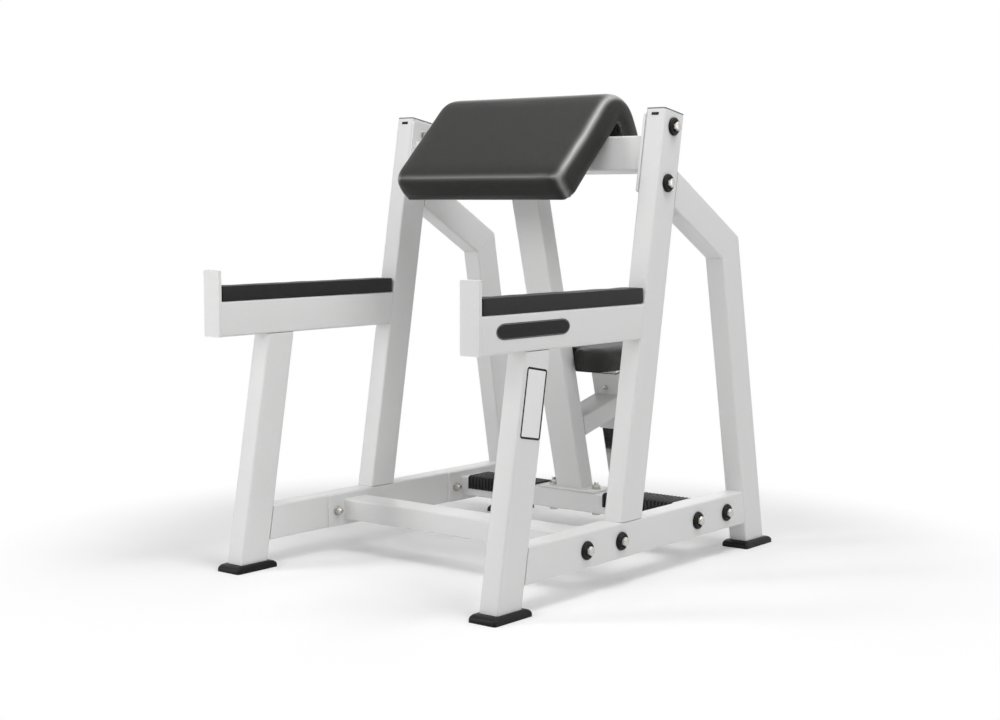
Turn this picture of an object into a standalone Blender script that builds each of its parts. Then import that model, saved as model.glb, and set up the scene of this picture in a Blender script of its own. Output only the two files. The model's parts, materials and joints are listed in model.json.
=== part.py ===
"""Seated preacher-curl bench: two welded side frames, bolted cross members, arm pad and sliding seat.

Metres, +Z up. The origin is on the floor under the middle of the bench. X runs across it, and the seated
user sits at the rear (+Y) and faces the front (-Y), so the user's left side is +X.
"""
import math

import bmesh
import bpy
from mathutils import Matrix, Vector

# Frame tube
TUBE_WIDTH = 0.050
TUBE_DEPTH = 0.080
TUBE_WALL = 0.003
TUBE_RADIUS = 0.005
CORNER_STEPS = 2
GAP = 0.0003
WELD_BITE = 0.001
OVERRUN = 0.010
EASED = 0.002

# Side frames
FRAME_WIDTH = 0.800
RAIL_BOTTOM = 0.0625
FRONT_LEG_Y = -0.476
FRONT_LEG_LEAN = 10.0
UPRIGHT_Y = -0.037
UPRIGHT_LEAN = 9.7
UPRIGHT_LENGTH = 0.9185
REAR_LEG_Y = 0.508
REAR_LEG_LEAN = -10.6
KNEE_HEIGHT = 0.7395
BRACE_FALL = 29.4
ARM_BOTTOM = 0.5435
ARM_FRONT = -0.5635
CAP_THICK = 0.0025
CAP_SKIRT = 0.012
SLOT_LENGTH = 0.015
SLOT_HEIGHT = 0.0035
SLOT_DROP = 0.0115

# Bar rest
STOP_THICK = 0.008
STOP_HEIGHT = 0.150
REST_HEIGHT = 0.034
REST_FRONT_SPACE = 0.004
REST_REAR_SPACE = 0.011
REST_RADIUS = 0.005

# Feet
FOOT_SIDE = 0.011
FOOT_SPREAD = 0.0218
FOOT_SETBACK = 0.002
FOOT_HEIGHT = 0.017
FOOT_BASE = 0.005
FOOT_LIP = 0.003
FOOT_CORNER = 0.006
FOOT_RISE = ((0.0, 0.0), (0.0, 0.40), (0.12, 0.65), (0.42, 0.88), (1.0, 1.0))

# Cross members
FRONT_CROSS_Y = -0.144
REAR_CROSS_Y = 0.300
FLANGE_THICK = 0.006
FLANGE_LENGTH = 0.180
FLANGE_HEIGHT = 0.077
FLANGE_BOLT_PITCH = 0.130
FLANGE_RADIUS = 0.006
DRAIN_DIAMETER = 0.030
FOOT_PAD_INNER_SPACE = 0.022
FOOT_PAD_OUTER_SPACE = 0.0237
FOOT_PAD_THICK = 0.004
FOOT_PAD_DROP = 0.030

# Pad beam
BEAM_WIDTH = 0.050
BEAM_DROP = 0.0975
BEAM_INSET = 0.010
BEAM_BOLT_PITCH = 0.128

# Centre post
POST_WIDTH = 0.080
POST_DEPTH = 0.050
POST_SETBACK = 0.005
POST_TOP_SHIFT = 0.0037
POST_PLATE_LENGTH = 0.176
POST_PLATE_THICK = 0.005
POST_BOLT_PITCH = 0.132
POST_CAP_LENGTH = 0.150
POST_CAP_DEPTH = 0.062
POST_CAP_BOLT_PITCH = 0.116
POST_DRAIN_DIAMETER = 0.020

# Seat arm and sleeve
SEAT_ARM_HEIGHT = 0.290
SEAT_ARM_LENGTH = 0.1615
SLEEVE_BELOW = 0.0705
SLEEVE_ABOVE = 0.080
BUSH_LOW_LENGTH = 0.035
BUSH_HIGH_LENGTH = 0.045
SCREW_RISE = 0.0435
SCREW_HEAD = 0.0065
SCREW_CROWN = 0.0045
SCREW_HEAD_HEIGHT = 0.0065
SCREW_SHANK = 0.003

# Seat tube and its stops
SEAT_TUBE_WIDTH = 0.070
SEAT_TUBE_DEPTH = 0.040
SEAT_TUBE_WALL = 0.002
SEAT_TUBE_RADIUS = 0.004
SEAT_TUBE_BELOW = 0.200
SEAT_STEP = 0.025
SEAT_STEPS = 4
PLUG_THICK = 0.003
PLUG_SKIRT = 0.012

# Pull pin
PIN_RADIUS = 0.005
PIN_TRAVEL_IN = 0.010
BARREL_RADIUS = 0.012
BARREL_LENGTH = 0.025
KNOB_RADIUS = 0.017
KNOB_LENGTH = 0.028

# Seat
SEAT_OVER_SLEEVE = 0.0063
SEAT_POST_GAP = 0.0115
SEAT_LENGTH = 0.300
SEAT_WIDTH = 0.255
SEAT_FRONT_RADIUS = 0.040
SEAT_REAR_RADIUS = 0.100
SEAT_NOTCH_CLEAR = 0.006
SEAT_NOTCH_DEPTH = 0.036
SEAT_NOTCH_RADIUS = 0.012
SEAT_LOBE_RADIUS = 0.006
SEAT_PLATE_THICK = 0.005
SEAT_PLATE_WIDTH = 0.130
SEAT_PLATE_LENGTH = 0.200
SEAT_PLATE_MARGIN = 0.016
SEAT_PLATE_RADIUS = 0.008
SEAT_BOARD_THICK = 0.012
SEAT_BOARD_INSET = 0.002
SEAT_CUSHION_THICK = 0.045
SEAT_CUSHION_RISE = ((0.0035, 0.0), (0.0012, 0.10), (0.0, 0.35), (0.0, 0.62), (0.0018, 0.80), (0.0055, 0.915),
                     (0.0100, 0.965), (0.0155, 0.985), (0.0210, 1.0))

# Arm pad
PAD_WIDTH = 0.500
PAD_SLOPE = 44.7
PAD_REAR_SLOPE = 64.5
PAD_FRONT_THICK = 0.067
PAD_REAR_THICK = 0.066
PAD_FRONT_SPACE = 0.00072
PAD_REAR_SPACE = 0.00938
PAD_FRONT_LENGTH = 0.2605
PAD_REAR_LENGTH = 0.104
PAD_CROWN_RADIUS = 0.074
PAD_EDGE_RADIUS = 0.014
PAD_UNDER_RADIUS = 0.003
PAD_CORNER_RADIUS = 0.025
PAD_SWELL = 0.001
PAD_END_STEPS = (0.0, 0.0015, 0.004, 0.008)
PAD_BOARD_THICK = 0.012
PAD_BOARD_INSET = 0.015
ANGLE_THICK = 0.004
ANGLE_LENGTH = 0.360
ANGLE_FRONT_LEGS = (0.050, 0.075)
ANGLE_REAR_LEGS = (0.055, 0.060)

# Fasteners
BOLT_RADIUS = 0.006
BOLT_FLATS = 0.018
BOLT_HEAD = 0.0075
NUT_HEIGHT = 0.010
BOLT_END = 0.007
CUP_RADIUS = 0.0207
CUP_TOP_RADIUS = 0.0168
CUP_HEIGHT = 0.0072
WASHER_RADIUS = 0.012
WASHER_HEIGHT = 0.0025
ROUND_SIDES = 12
PIN_SIDES = 16

# Sizes that follow from those above
HALF = FRAME_WIDTH / 2
SIDE_X = HALF - TUBE_WIDTH / 2
INNER_X = HALF - TUBE_WIDTH
RAIL_MIDDLE = RAIL_BOTTOM + TUBE_DEPTH / 2
RAIL_TOP = RAIL_BOTTOM + TUBE_DEPTH
ARM_TOP = ARM_BOTTOM + TUBE_DEPTH
CROSS_REACH = INNER_X - GAP
POST_Y = REAR_CROSS_Y - POST_SETBACK
HOLE_RADIUS = BOLT_RADIUS + GAP
X_AXIS = Vector((1.0, 0.0, 0.0))
Y_AXIS = Vector((0.0, 1.0, 0.0))
Z_AXIS = Vector((0.0, 0.0, 1.0))


for old in list(bpy.data.objects):
    bpy.data.objects.remove(old, do_unlink=True)


def make_material(name, colour, roughness, metallic=0.0):
    """A plain Principled material."""
    material = bpy.data.materials.new(name)
    material.use_nodes = True
    shader = material.node_tree.nodes["Principled BSDF"]
    shader.inputs["Base Color"].default_value = (*colour, 1.0)
    shader.inputs["Roughness"].default_value = roughness
    shader.inputs["Metallic"].default_value = metallic
    material.diffuse_color = (*colour, 1.0)
    return material


COAT = make_material("white_powder_coat", (0.72, 0.72, 0.71), 0.45)
RUBBER = make_material("black_rubber", (0.030, 0.030, 0.031), 0.75)
PLASTIC = make_material("black_plastic", (0.022, 0.022, 0.023), 0.50)
CAP_GREY = make_material("grey_plastic", (0.20, 0.20, 0.20), 0.55)
HIDE = make_material("charcoal_upholstery", (0.065, 0.062, 0.060), 0.60)
WOOD = make_material("black_board", (0.020, 0.019, 0.018), 0.70)
CHROME = make_material("chrome", (0.78, 0.78, 0.79), 0.12, 1.0)
ZINC = make_material("zinc_plated_steel", (0.55, 0.53, 0.50), 0.35, 1.0)


def lean_direction(degrees):
    """The side-view direction (y, z) of a member that rises and leans to the rear by this angle."""
    return Vector((math.sin(math.radians(degrees)), math.cos(math.radians(degrees))))


def across(direction):
    """The side-view direction square to a member: to the rear of one that rises."""
    return Vector((direction.y, -direction.x))


def meet(point_a, direction_a, point_b, direction_b):
    """Where two side-view lines cross."""
    determinant = direction_a.x * direction_b.y - direction_a.y * direction_b.x
    offset = point_b - point_a
    reach = (offset.x * direction_b.y - offset.y * direction_b.x) / determinant
    return point_a + direction_a * reach


def space(point, x=0.0):
    """A side-view point at a given x."""
    return Vector((x, point.x, point.y))


def frame_matrix(origin, x_axis, y_axis):
    """A placement from an origin and two square axes."""
    z_axis = x_axis.cross(y_axis)
    rotation = Matrix((x_axis, y_axis, z_axis)).transposed()
    return Matrix.Translation(origin) @ rotation.to_4x4()


def side_frame(origin, direction, x=0.0):
    """A placement whose Z runs along a side-view direction, X across the bench and Y square to both."""
    return frame_matrix(space(origin, x), X_AXIS, space(across(direction)))


def level_frame(x, y, z):
    """A placement square to the world."""
    return Matrix.Translation((x, y, z))


def rounded_outline(width, depth, radius, steps=CORNER_STEPS):
    """A rectangle about the origin with round corners, counter-clockwise."""
    points = []
    corners = ((1, 1, 0), (-1, 1, 90), (-1, -1, 180), (1, -1, 270))
    for sign_x, sign_y, start in corners:
        centre = Vector((sign_x * (width / 2 - radius), sign_y * (depth / 2 - radius)))
        for step in range(steps + 1):
            angle = math.radians(start + 90 * step / steps)
            points.append(centre + radius * Vector((math.cos(angle), math.sin(angle))))
    return points


def circle_outline(radius, sides=ROUND_SIDES):
    """A regular outline about the origin."""
    turns = [2 * math.pi * step / sides for step in range(sides)]
    return [radius * Vector((math.cos(turn), math.sin(turn))) for turn in turns]


def hexagon_outline(flats, sides=ROUND_SIDES):
    """A hexagon across its flats, with a point in the middle of each side."""
    corner = flats / 2 / math.cos(math.radians(30))
    points = []
    for step, point in enumerate(circle_outline(1.0, sides)):
        points.append(point * (corner if step % 2 == 0 else flats / 2))
    return points


def parent_to(obj, parent, matrix):
    """Place an object, under an empty where one is given."""
    if parent is None:
        obj.matrix_world = matrix
        return
    obj.parent = parent
    obj.matrix_local = parent.matrix_basis.inverted() @ matrix


def add_object(name, bm, matrix, material, parent=None, smooth=False):
    """Turn a bmesh in local coordinates into a placed object."""
    bmesh.ops.remove_doubles(bm, verts=bm.verts, dist=1e-6)
    bmesh.ops.recalc_face_normals(bm, faces=bm.faces)
    mesh = bpy.data.meshes.new(name)
    bm.to_mesh(mesh)
    bm.free()
    obj = bpy.data.objects.new(name, mesh)
    bpy.context.scene.collection.objects.link(obj)
    mesh.materials.append(material)
    if smooth:
        mesh.shade_smooth()
        mesh.set_sharp_from_angle(angle=math.radians(35))
    parent_to(obj, parent, matrix)
    return obj


def add_empty(name, matrix):
    """An empty that carries moving pieces; its Z is the joint's axis."""
    empty = bpy.data.objects.new(name, None)
    bpy.context.scene.collection.objects.link(empty)
    empty.empty_display_size = 0.05
    empty.matrix_basis = matrix
    return empty


def loft_into(bm, loops):
    """Skin a run of closed loops that have the same number of points, and cap both ends."""
    rings = [[bm.verts.new(point) for point in loop] for loop in loops]
    count = len(rings[0])
    for low, high in zip(rings, rings[1:]):
        for step in range(count):
            after = (step + 1) % count
            bm.faces.new((low[step], low[after], high[after], high[step]))
    bm.faces.new(list(reversed(rings[0])))
    bm.faces.new(rings[-1])


def stack(outlines):
    """Loops from (outline, height) pairs."""
    return [[Vector((point.x, point.y, height)) for point in outline] for outline, height in outlines]


def loft(name, outlines, matrix, material, parent=None, smooth=False):
    """A solid skinned over outlines at their heights along local Z."""
    bm = bmesh.new()
    loft_into(bm, stack(outlines))
    return add_object(name, bm, matrix, material, parent, smooth)


def square_cut(height):
    """A cut square to a tube, as (height, slope over local y)."""
    return (height, 0.0)


def tube_outlines(width, depth, wall, radius):
    """The outer and inner outlines of a rectangular tube."""
    outer = rounded_outline(width, depth, radius)
    inner = rounded_outline(width - 2 * wall, depth - 2 * wall, max(radius - wall, EASED / 2))
    return outer, inner


def hollow_tube(name, matrix, outlines, low_cut, high_cut, material, parent=None):
    """A tube along local Z between two outlines, whose ends are planes that hold local X."""
    bm = bmesh.new()
    rings = []
    for outline in outlines:
        for height, slope in (low_cut, high_cut):
            rings.append([bm.verts.new((p.x, p.y, height + slope * p.y)) for p in outline])
    outer_low, outer_high, inner_low, inner_high = rings
    count = len(outer_low)
    for step in range(count):
        after = (step + 1) % count
        bm.faces.new((outer_low[step], outer_low[after], outer_high[after], outer_high[step]))
        bm.faces.new((inner_low[after], inner_low[step], inner_high[step], inner_high[after]))
        bm.faces.new((outer_low[after], outer_low[step], inner_low[step], inner_low[after]))
        bm.faces.new((outer_high[step], outer_high[after], inner_high[after], inner_high[step]))
    return add_object(name, bm, matrix, material, parent)


def plane_cut(origin, direction, plane_point, plane_normal):
    """The (height, slope) of a side-view plane in the frame of a tube along a direction."""
    rise = direction.dot(plane_normal)
    height = (plane_point - origin).dot(plane_normal) / rise
    slope = -across(direction).dot(plane_normal) / rise
    return (height, slope)


def member(name, x, origin, direction, low_plane, high_plane, width=TUBE_WIDTH, depth=TUBE_DEPTH):
    """A coated frame tube in the side view, from one cutting plane to another."""
    low_cut = plane_cut(origin, direction, *low_plane)
    high_cut = plane_cut(origin, direction, *high_plane)
    outlines = tube_outlines(width, depth, TUBE_WALL, TUBE_RADIUS)
    return hollow_tube(name, side_frame(origin, direction, x), outlines, low_cut, high_cut, COAT)


def use_as_tool(obj):
    """Hide a cutter or an added shape that only feeds a Boolean."""
    obj.hide_render = True
    obj.display_type = "WIRE"
    return obj


def combine(obj, tool, operation):
    """Cut a tool out of an object, or weld it on."""
    modifier = obj.modifiers.new(operation.lower(), "BOOLEAN")
    modifier.operation = operation
    modifier.object = use_as_tool(tool)
    modifier.solver = "EXACT"


def drill(obj, name, holes, radius=HOLE_RADIUS, sides=ROUND_SIDES):
    """Bore round holes, each given as a frame on its axis and the two heights it runs between."""
    bm = bmesh.new()
    for matrix, low, high in holes:
        loops = stack([(circle_outline(radius, sides), low), (circle_outline(radius, sides), high)])
        loft_into(bm, [[matrix @ point for point in loop] for loop in loops])
    combine(obj, add_object(name, bm, Matrix.Identity(4), COAT), "DIFFERENCE")


def box_into(bm, matrix, size):
    """A box about a frame's origin."""
    transform = matrix @ Matrix.Diagonal((*size, 1.0))
    bmesh.ops.create_cube(bm, size=1.0, matrix=transform)


def along_x(y, z, sign=1):
    """A frame whose Z runs along +X, or along -X where the sign is negative."""
    return frame_matrix(Vector((0.0, y, z)), Y_AXIS * sign, Z_AXIS)


# Side-view lines of the frame
UP = lean_direction(0)
REAR = Vector((1.0, 0.0))
FRONT_LEG = lean_direction(FRONT_LEG_LEAN)
FRONT_LEG_FOOT = Vector((FRONT_LEG_Y, 0.0))
UPRIGHT = lean_direction(UPRIGHT_LEAN)
UPRIGHT_FOOT = Vector((UPRIGHT_Y, RAIL_TOP))
UPRIGHT_END = UPRIGHT_FOOT + UPRIGHT * UPRIGHT_LENGTH
REAR_LEG = lean_direction(REAR_LEG_LEAN)
REAR_LEG_FOOT = Vector((REAR_LEG_Y, 0.0))
KNEE = REAR_LEG_FOOT + REAR_LEG * (KNEE_HEIGHT / REAR_LEG.y)
BRACE = Vector((-math.cos(math.radians(BRACE_FALL)), math.sin(math.radians(BRACE_FALL))))
MITRE = (REAR_LEG + BRACE).normalized()
BEAM_CENTRE = (UPRIGHT_END - UPRIGHT * BEAM_DROP
               + across(UPRIGHT) * (BEAM_INSET + BEAM_WIDTH / 2 - TUBE_DEPTH / 2))
BEAM_UNDER = BEAM_CENTRE - UPRIGHT * (TUBE_DEPTH / 2)
POST_FOOT = Vector((POST_Y, RAIL_MIDDLE + TUBE_WIDTH / 2 + GAP + POST_PLATE_THICK))
POST = (BEAM_UNDER + across(UPRIGHT) * POST_TOP_SHIFT - POST_FOOT).normalized()
FLOOR_CUT = (Vector((0.0, FOOT_BASE + GAP)), UP)


def face_plane(foot, direction, offset):
    """The plane of a member's front face (negative offset) or rear face (positive offset)."""
    side = across(direction)
    return (foot + side * offset, side)


def beam_bolt_point(step):
    """A bolt's place on the upright: step is -1 below the beam and 1 above it."""
    return UPRIGHT_END - UPRIGHT * (BEAM_DROP - step * BEAM_BOLT_PITCH / 2)


def rail_bolt_points():
    """The four bolt places on a bottom rail."""
    return [Vector((middle + step * FLANGE_BOLT_PITCH / 2, RAIL_MIDDLE))
            for middle in (FRONT_CROSS_Y, REAR_CROSS_Y) for step in (-1, 1)]


def side_holes(points, sign):
    """Holes across a side frame at side-view points."""
    low, high = sorted((sign * (INNER_X - OVERRUN), sign * (HALF + OVERRUN)))
    return [(along_x(point.x, point.y), low, high) for point in points]


def add_legs(side, x):
    """Front leg, rear leg and brace of one side frame."""
    member(f"front_leg_{side}", x, FRONT_LEG_FOOT, FRONT_LEG, FLOOR_CUT,
           (Vector((0.0, ARM_BOTTOM - GAP)), UP))
    member(f"rear_leg_{side}", x, REAR_LEG_FOOT, REAR_LEG, FLOOR_CUT,
           (KNEE - MITRE * GAP / 2, MITRE))
    member(f"brace_{side}", x, KNEE, BRACE, (KNEE + MITRE * GAP / 2, MITRE),
           face_plane(UPRIGHT_FOOT, UPRIGHT, TUBE_DEPTH / 2 + GAP))


def add_rail(side, x, sign):
    """Bottom rail between the legs, bored for the cross members' bolts."""
    rail = member(f"bottom_rail_{side}", x, Vector((0.0, RAIL_MIDDLE)), REAR,
                  face_plane(FRONT_LEG_FOOT, FRONT_LEG, TUBE_DEPTH / 2 + GAP),
                  face_plane(REAR_LEG_FOOT, REAR_LEG, -TUBE_DEPTH / 2 - GAP))
    drill(rail, f"rail_bores_{side}", side_holes(rail_bolt_points(), sign))


def add_upright(side, x, sign):
    """Upright with its cap, its front slot and the pad beam's bolt holes."""
    upright = member(f"upright_{side}", x, UPRIGHT_FOOT, UPRIGHT, (Vector((0.0, RAIL_TOP + GAP)), UP),
                     (UPRIGHT_END, UPRIGHT))
    drill(upright, f"upright_bores_{side}", side_holes([beam_bolt_point(-1), beam_bolt_point(1)], sign))
    slot = bmesh.new()
    box_into(slot, level_frame(0.0, -TUBE_DEPTH / 2, UPRIGHT_LENGTH - SLOT_DROP),
             (SLOT_LENGTH, 3 * TUBE_WALL, SLOT_HEIGHT))
    combine(upright, add_object(f"slot_tool_{side}", slot, side_frame(UPRIGHT_FOOT, UPRIGHT, x), COAT),
            "DIFFERENCE")
    plate = rounded_outline(TUBE_WIDTH, TUBE_DEPTH, TUBE_RADIUS)
    room = 2 * (TUBE_WALL + GAP)
    skirt = rounded_outline(TUBE_WIDTH - room, TUBE_DEPTH - room, EASED)
    loft(f"top_cap_{side}", [(skirt, -CAP_SKIRT), (skirt, GAP), (plate, GAP), (plate, GAP + CAP_THICK)],
         side_frame(UPRIGHT_END, UPRIGHT, x), CAP_GREY)


def add_rest_arm(side, x):
    """Bar-rest arm, its stop plate and its rubber strip."""
    member(f"rest_arm_{side}", x, Vector((ARM_FRONT, ARM_BOTTOM + TUBE_DEPTH / 2)), REAR,
           (Vector((ARM_FRONT + GAP, 0.0)), REAR),
           face_plane(UPRIGHT_FOOT, UPRIGHT, -TUBE_DEPTH / 2 - GAP))
    facing = frame_matrix(Vector((x, ARM_FRONT, ARM_BOTTOM + STOP_HEIGHT / 2)), X_AXIS, Z_AXIS)
    plate = rounded_outline(TUBE_WIDTH, STOP_HEIGHT, EASED, 1)
    loft(f"stop_plate_{side}", [(plate, 0.0), (plate, STOP_THICK)], facing, COAT)
    top = ARM_TOP + GAP + REST_HEIGHT
    rear_plane = face_plane(UPRIGHT_FOOT, UPRIGHT, -TUBE_DEPTH / 2 - REST_REAR_SPACE)
    rear = meet(Vector((0.0, top)), REAR, rear_plane[0], UPRIGHT).x
    front = ARM_FRONT + REST_FRONT_SPACE
    base = rounded_outline(TUBE_WIDTH, rear - front, REST_RADIUS)
    layers = [(base, 0.0)]
    for turn in (0, 30, 60, 90):
        inset = REST_RADIUS * (1 - math.cos(math.radians(turn)))
        drop = REST_RADIUS * (1 - math.sin(math.radians(turn)))
        layer = rounded_outline(TUBE_WIDTH - 2 * inset, rear - front - 2 * inset, REST_RADIUS)
        layers.append((layer, REST_HEIGHT - drop))
    loft(f"rest_rubber_{side}", layers, level_frame(x, (front + rear) / 2, ARM_TOP + GAP), RUBBER)


def add_foot(name, x, foot, direction):
    """Foot cover with a rounded, sloping top and a pocket that the leg stands in."""
    leg_depth = TUBE_DEPTH / direction.y
    outlines = []
    for share, height in FOOT_RISE:
        side = FOOT_SIDE + (FOOT_LIP - FOOT_SIDE) * share
        spread = FOOT_SPREAD + (FOOT_LIP - FOOT_SPREAD) * share
        outline = rounded_outline(TUBE_WIDTH + 2 * side, leg_depth + 2 * spread, FOOT_CORNER, 3)
        outlines.append((outline, FOOT_HEIGHT * height))
    centre = foot + direction * (FOOT_HEIGHT / 2)
    cover = loft(name, outlines, level_frame(x, centre.x + FOOT_SETBACK, 0.0), PLASTIC)
    pocket = rounded_outline(TUBE_WIDTH + 2 * GAP, TUBE_DEPTH + 2 * GAP, TUBE_RADIUS)
    low = plane_cut(foot, direction, Vector((0.0, FOOT_BASE)), UP)
    loops = [[Vector((p.x, p.y, low[0] + low[1] * p.y)) for p in pocket],
             [Vector((p.x, p.y, 2 * FOOT_HEIGHT)) for p in pocket]]
    bm = bmesh.new()
    loft_into(bm, loops)
    combine(cover, add_object(f"{name}_pocket", bm, side_frame(foot, direction, x), PLASTIC), "DIFFERENCE")


def cross_tube(name, place, width, depth):
    """A tube from one end flange to the other, biting a little into both."""
    end = CROSS_REACH - FLANGE_THICK + WELD_BITE
    outlines = tube_outlines(width, depth, TUBE_WALL, TUBE_RADIUS)
    return hollow_tube(name, place, outlines, square_cut(-end), square_cut(end), COAT)


def add_cross_member(name, middle, post_holes):
    """Cross member: flat tube with an end flange against each rail."""
    place = along_x(middle, RAIL_MIDDLE)
    tube = cross_tube(name, place, TUBE_DEPTH, TUBE_WIDTH)
    flange = rounded_outline(FLANGE_LENGTH, FLANGE_HEIGHT, FLANGE_RADIUS)
    bolt_holes = []
    drains = []
    for sign in (-1, 1):
        start, end = sorted((sign * (CROSS_REACH - FLANGE_THICK), sign * CROSS_REACH))
        ends = [(flange, start), (flange, end)]
        combine(tube, loft(f"{name}_flange_{sign}", ends, place, COAT), "UNION")
        for step in (-1, 1):
            hole = along_x(middle + step * FLANGE_BOLT_PITCH / 2, RAIL_MIDDLE)
            bolt_holes.append((hole, start - OVERRUN, end + OVERRUN))
        drains.append((place, start - OVERRUN, end + OVERRUN))
    drill(tube, f"{name}_bores", bolt_holes)
    drill(tube, f"{name}_drains", drains, DRAIN_DIAMETER / 2)
    if post_holes:
        drill(tube, f"{name}_post_bores", foot_bolt_holes(RAIL_MIDDLE, TUBE_WIDTH))


def beam_frame(point):
    """A frame along X whose own X is square to the upright and whose own Y runs up it."""
    return frame_matrix(space(point), space(across(UPRIGHT)), space(UPRIGHT))


def add_pad_beam():
    """Beam between the uprights, tilted with them, with a tall flange at each end."""
    beam = cross_tube("pad_beam", beam_frame(BEAM_CENTRE), BEAM_WIDTH, TUBE_DEPTH)
    flange = rounded_outline(TUBE_DEPTH, FLANGE_LENGTH, FLANGE_RADIUS)
    flange_place = beam_frame(UPRIGHT_END - UPRIGHT * BEAM_DROP)
    holes = []
    for sign in (-1, 1):
        start, end = sorted((sign * (CROSS_REACH - FLANGE_THICK), sign * CROSS_REACH))
        ends = [(flange, start), (flange, end)]
        combine(beam, loft(f"beam_flange_{sign}", ends, flange_place, COAT), "UNION")
        for step in (-1, 1):
            point = beam_bolt_point(step)
            holes.append((along_x(point.x, point.y), start - OVERRUN, end + OVERRUN))
    drill(beam, "beam_bores", holes)
    drill(beam, "beam_post_bores", cap_bolt_holes())


def cap_bolt_holes():
    """Holes for the two bolts between the post's top plate and the beam's underside."""
    under = side_frame(BEAM_UNDER, UPRIGHT)
    pitch = POST_CAP_BOLT_PITCH
    return [(under @ level_frame(sign * pitch / 2, 0.0, 0.0), -OVERRUN, OVERRUN) for sign in (-1, 1)]


def foot_bolt_holes(height, reach):
    """Holes for the two bolts between the rear cross member and the post's foot plate."""
    pitch = POST_BOLT_PITCH
    return [(level_frame(sign * pitch / 2, POST_Y, height), -reach, reach) for sign in (-1, 1)]


def add_centre_post():
    """Centre post with a level foot plate and a top plate square to the uprights."""
    top_plate_under = BEAM_UNDER - UPRIGHT * (GAP + POST_PLATE_THICK)
    post = member("centre_post", 0.0, POST_FOOT, POST, (POST_FOOT - UP * WELD_BITE, UP),
                  (top_plate_under + UPRIGHT * WELD_BITE, UPRIGHT), POST_WIDTH, POST_DEPTH)
    foot = rounded_outline(POST_PLATE_LENGTH, TUBE_DEPTH, TUBE_RADIUS)
    foot_place = level_frame(0.0, REAR_CROSS_Y, POST_FOOT.y - POST_PLATE_THICK)
    combine(post, loft("post_foot_tool", [(foot, 0.0), (foot, POST_PLATE_THICK)], foot_place, COAT), "UNION")
    cap = rounded_outline(POST_CAP_LENGTH, POST_CAP_DEPTH, TUBE_RADIUS)
    shift = (POST_CAP_DEPTH - BEAM_WIDTH) / 2
    cap_place = side_frame(top_plate_under + across(UPRIGHT) * shift, UPRIGHT)
    combine(post, loft("post_cap_tool", [(cap, 0.0), (cap, POST_PLATE_THICK)], cap_place, COAT), "UNION")
    drill(post, "post_foot_bores", foot_bolt_holes(POST_FOOT.y, OVERRUN))
    drill(post, "post_cap_bores", cap_bolt_holes())
    drain = level_frame(0.0, POST_Y, POST_FOOT.y)
    drill(post, "post_drain", [(drain, -OVERRUN, OVERRUN)], POST_DRAIN_DIAMETER / 2)


def add_foot_pad(side, sign):
    """Rubber foot pad over the top and the upper front and rear of the rear cross member."""
    inner = TUBE_DEPTH / 2 + GAP
    outer = inner + FOOT_PAD_THICK
    low = TUBE_WIDTH / 2 - FOOT_PAD_DROP
    top = TUBE_WIDTH / 2 + GAP
    crest = top + FOOT_PAD_THICK
    chamfer = TUBE_RADIUS
    bend = TUBE_RADIUS - EASED
    outline = [Vector(p) for p in (
        (outer, low), (outer, crest - chamfer), (outer - chamfer, crest),
        (-outer + chamfer, crest), (-outer, crest - chamfer), (-outer, low),
        (-inner, low), (-inner, top - bend), (-inner + bend, top),
        (inner - bend, top), (inner, top - bend), (inner, low))]
    inner_end = POST_PLATE_LENGTH / 2 + FOOT_PAD_INNER_SPACE
    outer_end = CROSS_REACH - FLANGE_THICK - FOOT_PAD_OUTER_SPACE
    start, end = sorted((sign * inner_end, sign * outer_end))
    loft(f"foot_pad_{side}", [(outline, start), (outline, end)], along_x(REAR_CROSS_Y, RAIL_MIDDLE), RUBBER)


# The seat arm is square to the post, and the sleeve runs beside the post
SEAT_ARM = across(POST)
POST_REAR_FOOT = POST_FOOT + across(POST) * (POST_DEPTH / 2)
SEAT_ARM_START = meet(Vector((0.0, SEAT_ARM_HEIGHT)), REAR, POST_REAR_FOOT, POST)
SLEEVE_POINT = SEAT_ARM_START + SEAT_ARM * (SEAT_ARM_LENGTH + POST_DEPTH / 2)
SLEEVE_CREST = SLEEVE_POINT + POST * SLEEVE_ABOVE + SEAT_ARM * (POST_DEPTH / 2)
SEAT_PLATE_UNDER = SLEEVE_CREST.y + SEAT_OVER_SLEEVE
SEAT_BOTTOM = SEAT_PLATE_UNDER + SEAT_PLATE_THICK + GAP
SEAT_FRONT = (meet(Vector((0.0, SEAT_BOTTOM)), REAR, POST_REAR_FOOT, POST).x
              + SEAT_POST_GAP - SEAT_NOTCH_DEPTH)
SLIDE = side_frame(SLEEVE_POINT, POST)
PIN_LINE = SLIDE @ along_x(0.0, 0.0)


def add_seat_arm():
    """Arm from the post's rear face to the sleeve's front face."""
    member("seat_arm", 0.0, SEAT_ARM_START, SEAT_ARM, (SEAT_ARM_START + SEAT_ARM * GAP, SEAT_ARM),
           (SEAT_ARM_START + SEAT_ARM * (SEAT_ARM_LENGTH - GAP), SEAT_ARM), POST_WIDTH, POST_DEPTH)


def sleeve_front_frame(rise):
    """A frame on the sleeve's front wall, its Z pointing into the sleeve."""
    point = SLEEVE_POINT + POST * rise - SEAT_ARM * (POST_DEPTH / 2)
    return frame_matrix(space(point), space(POST), X_AXIS)


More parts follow.
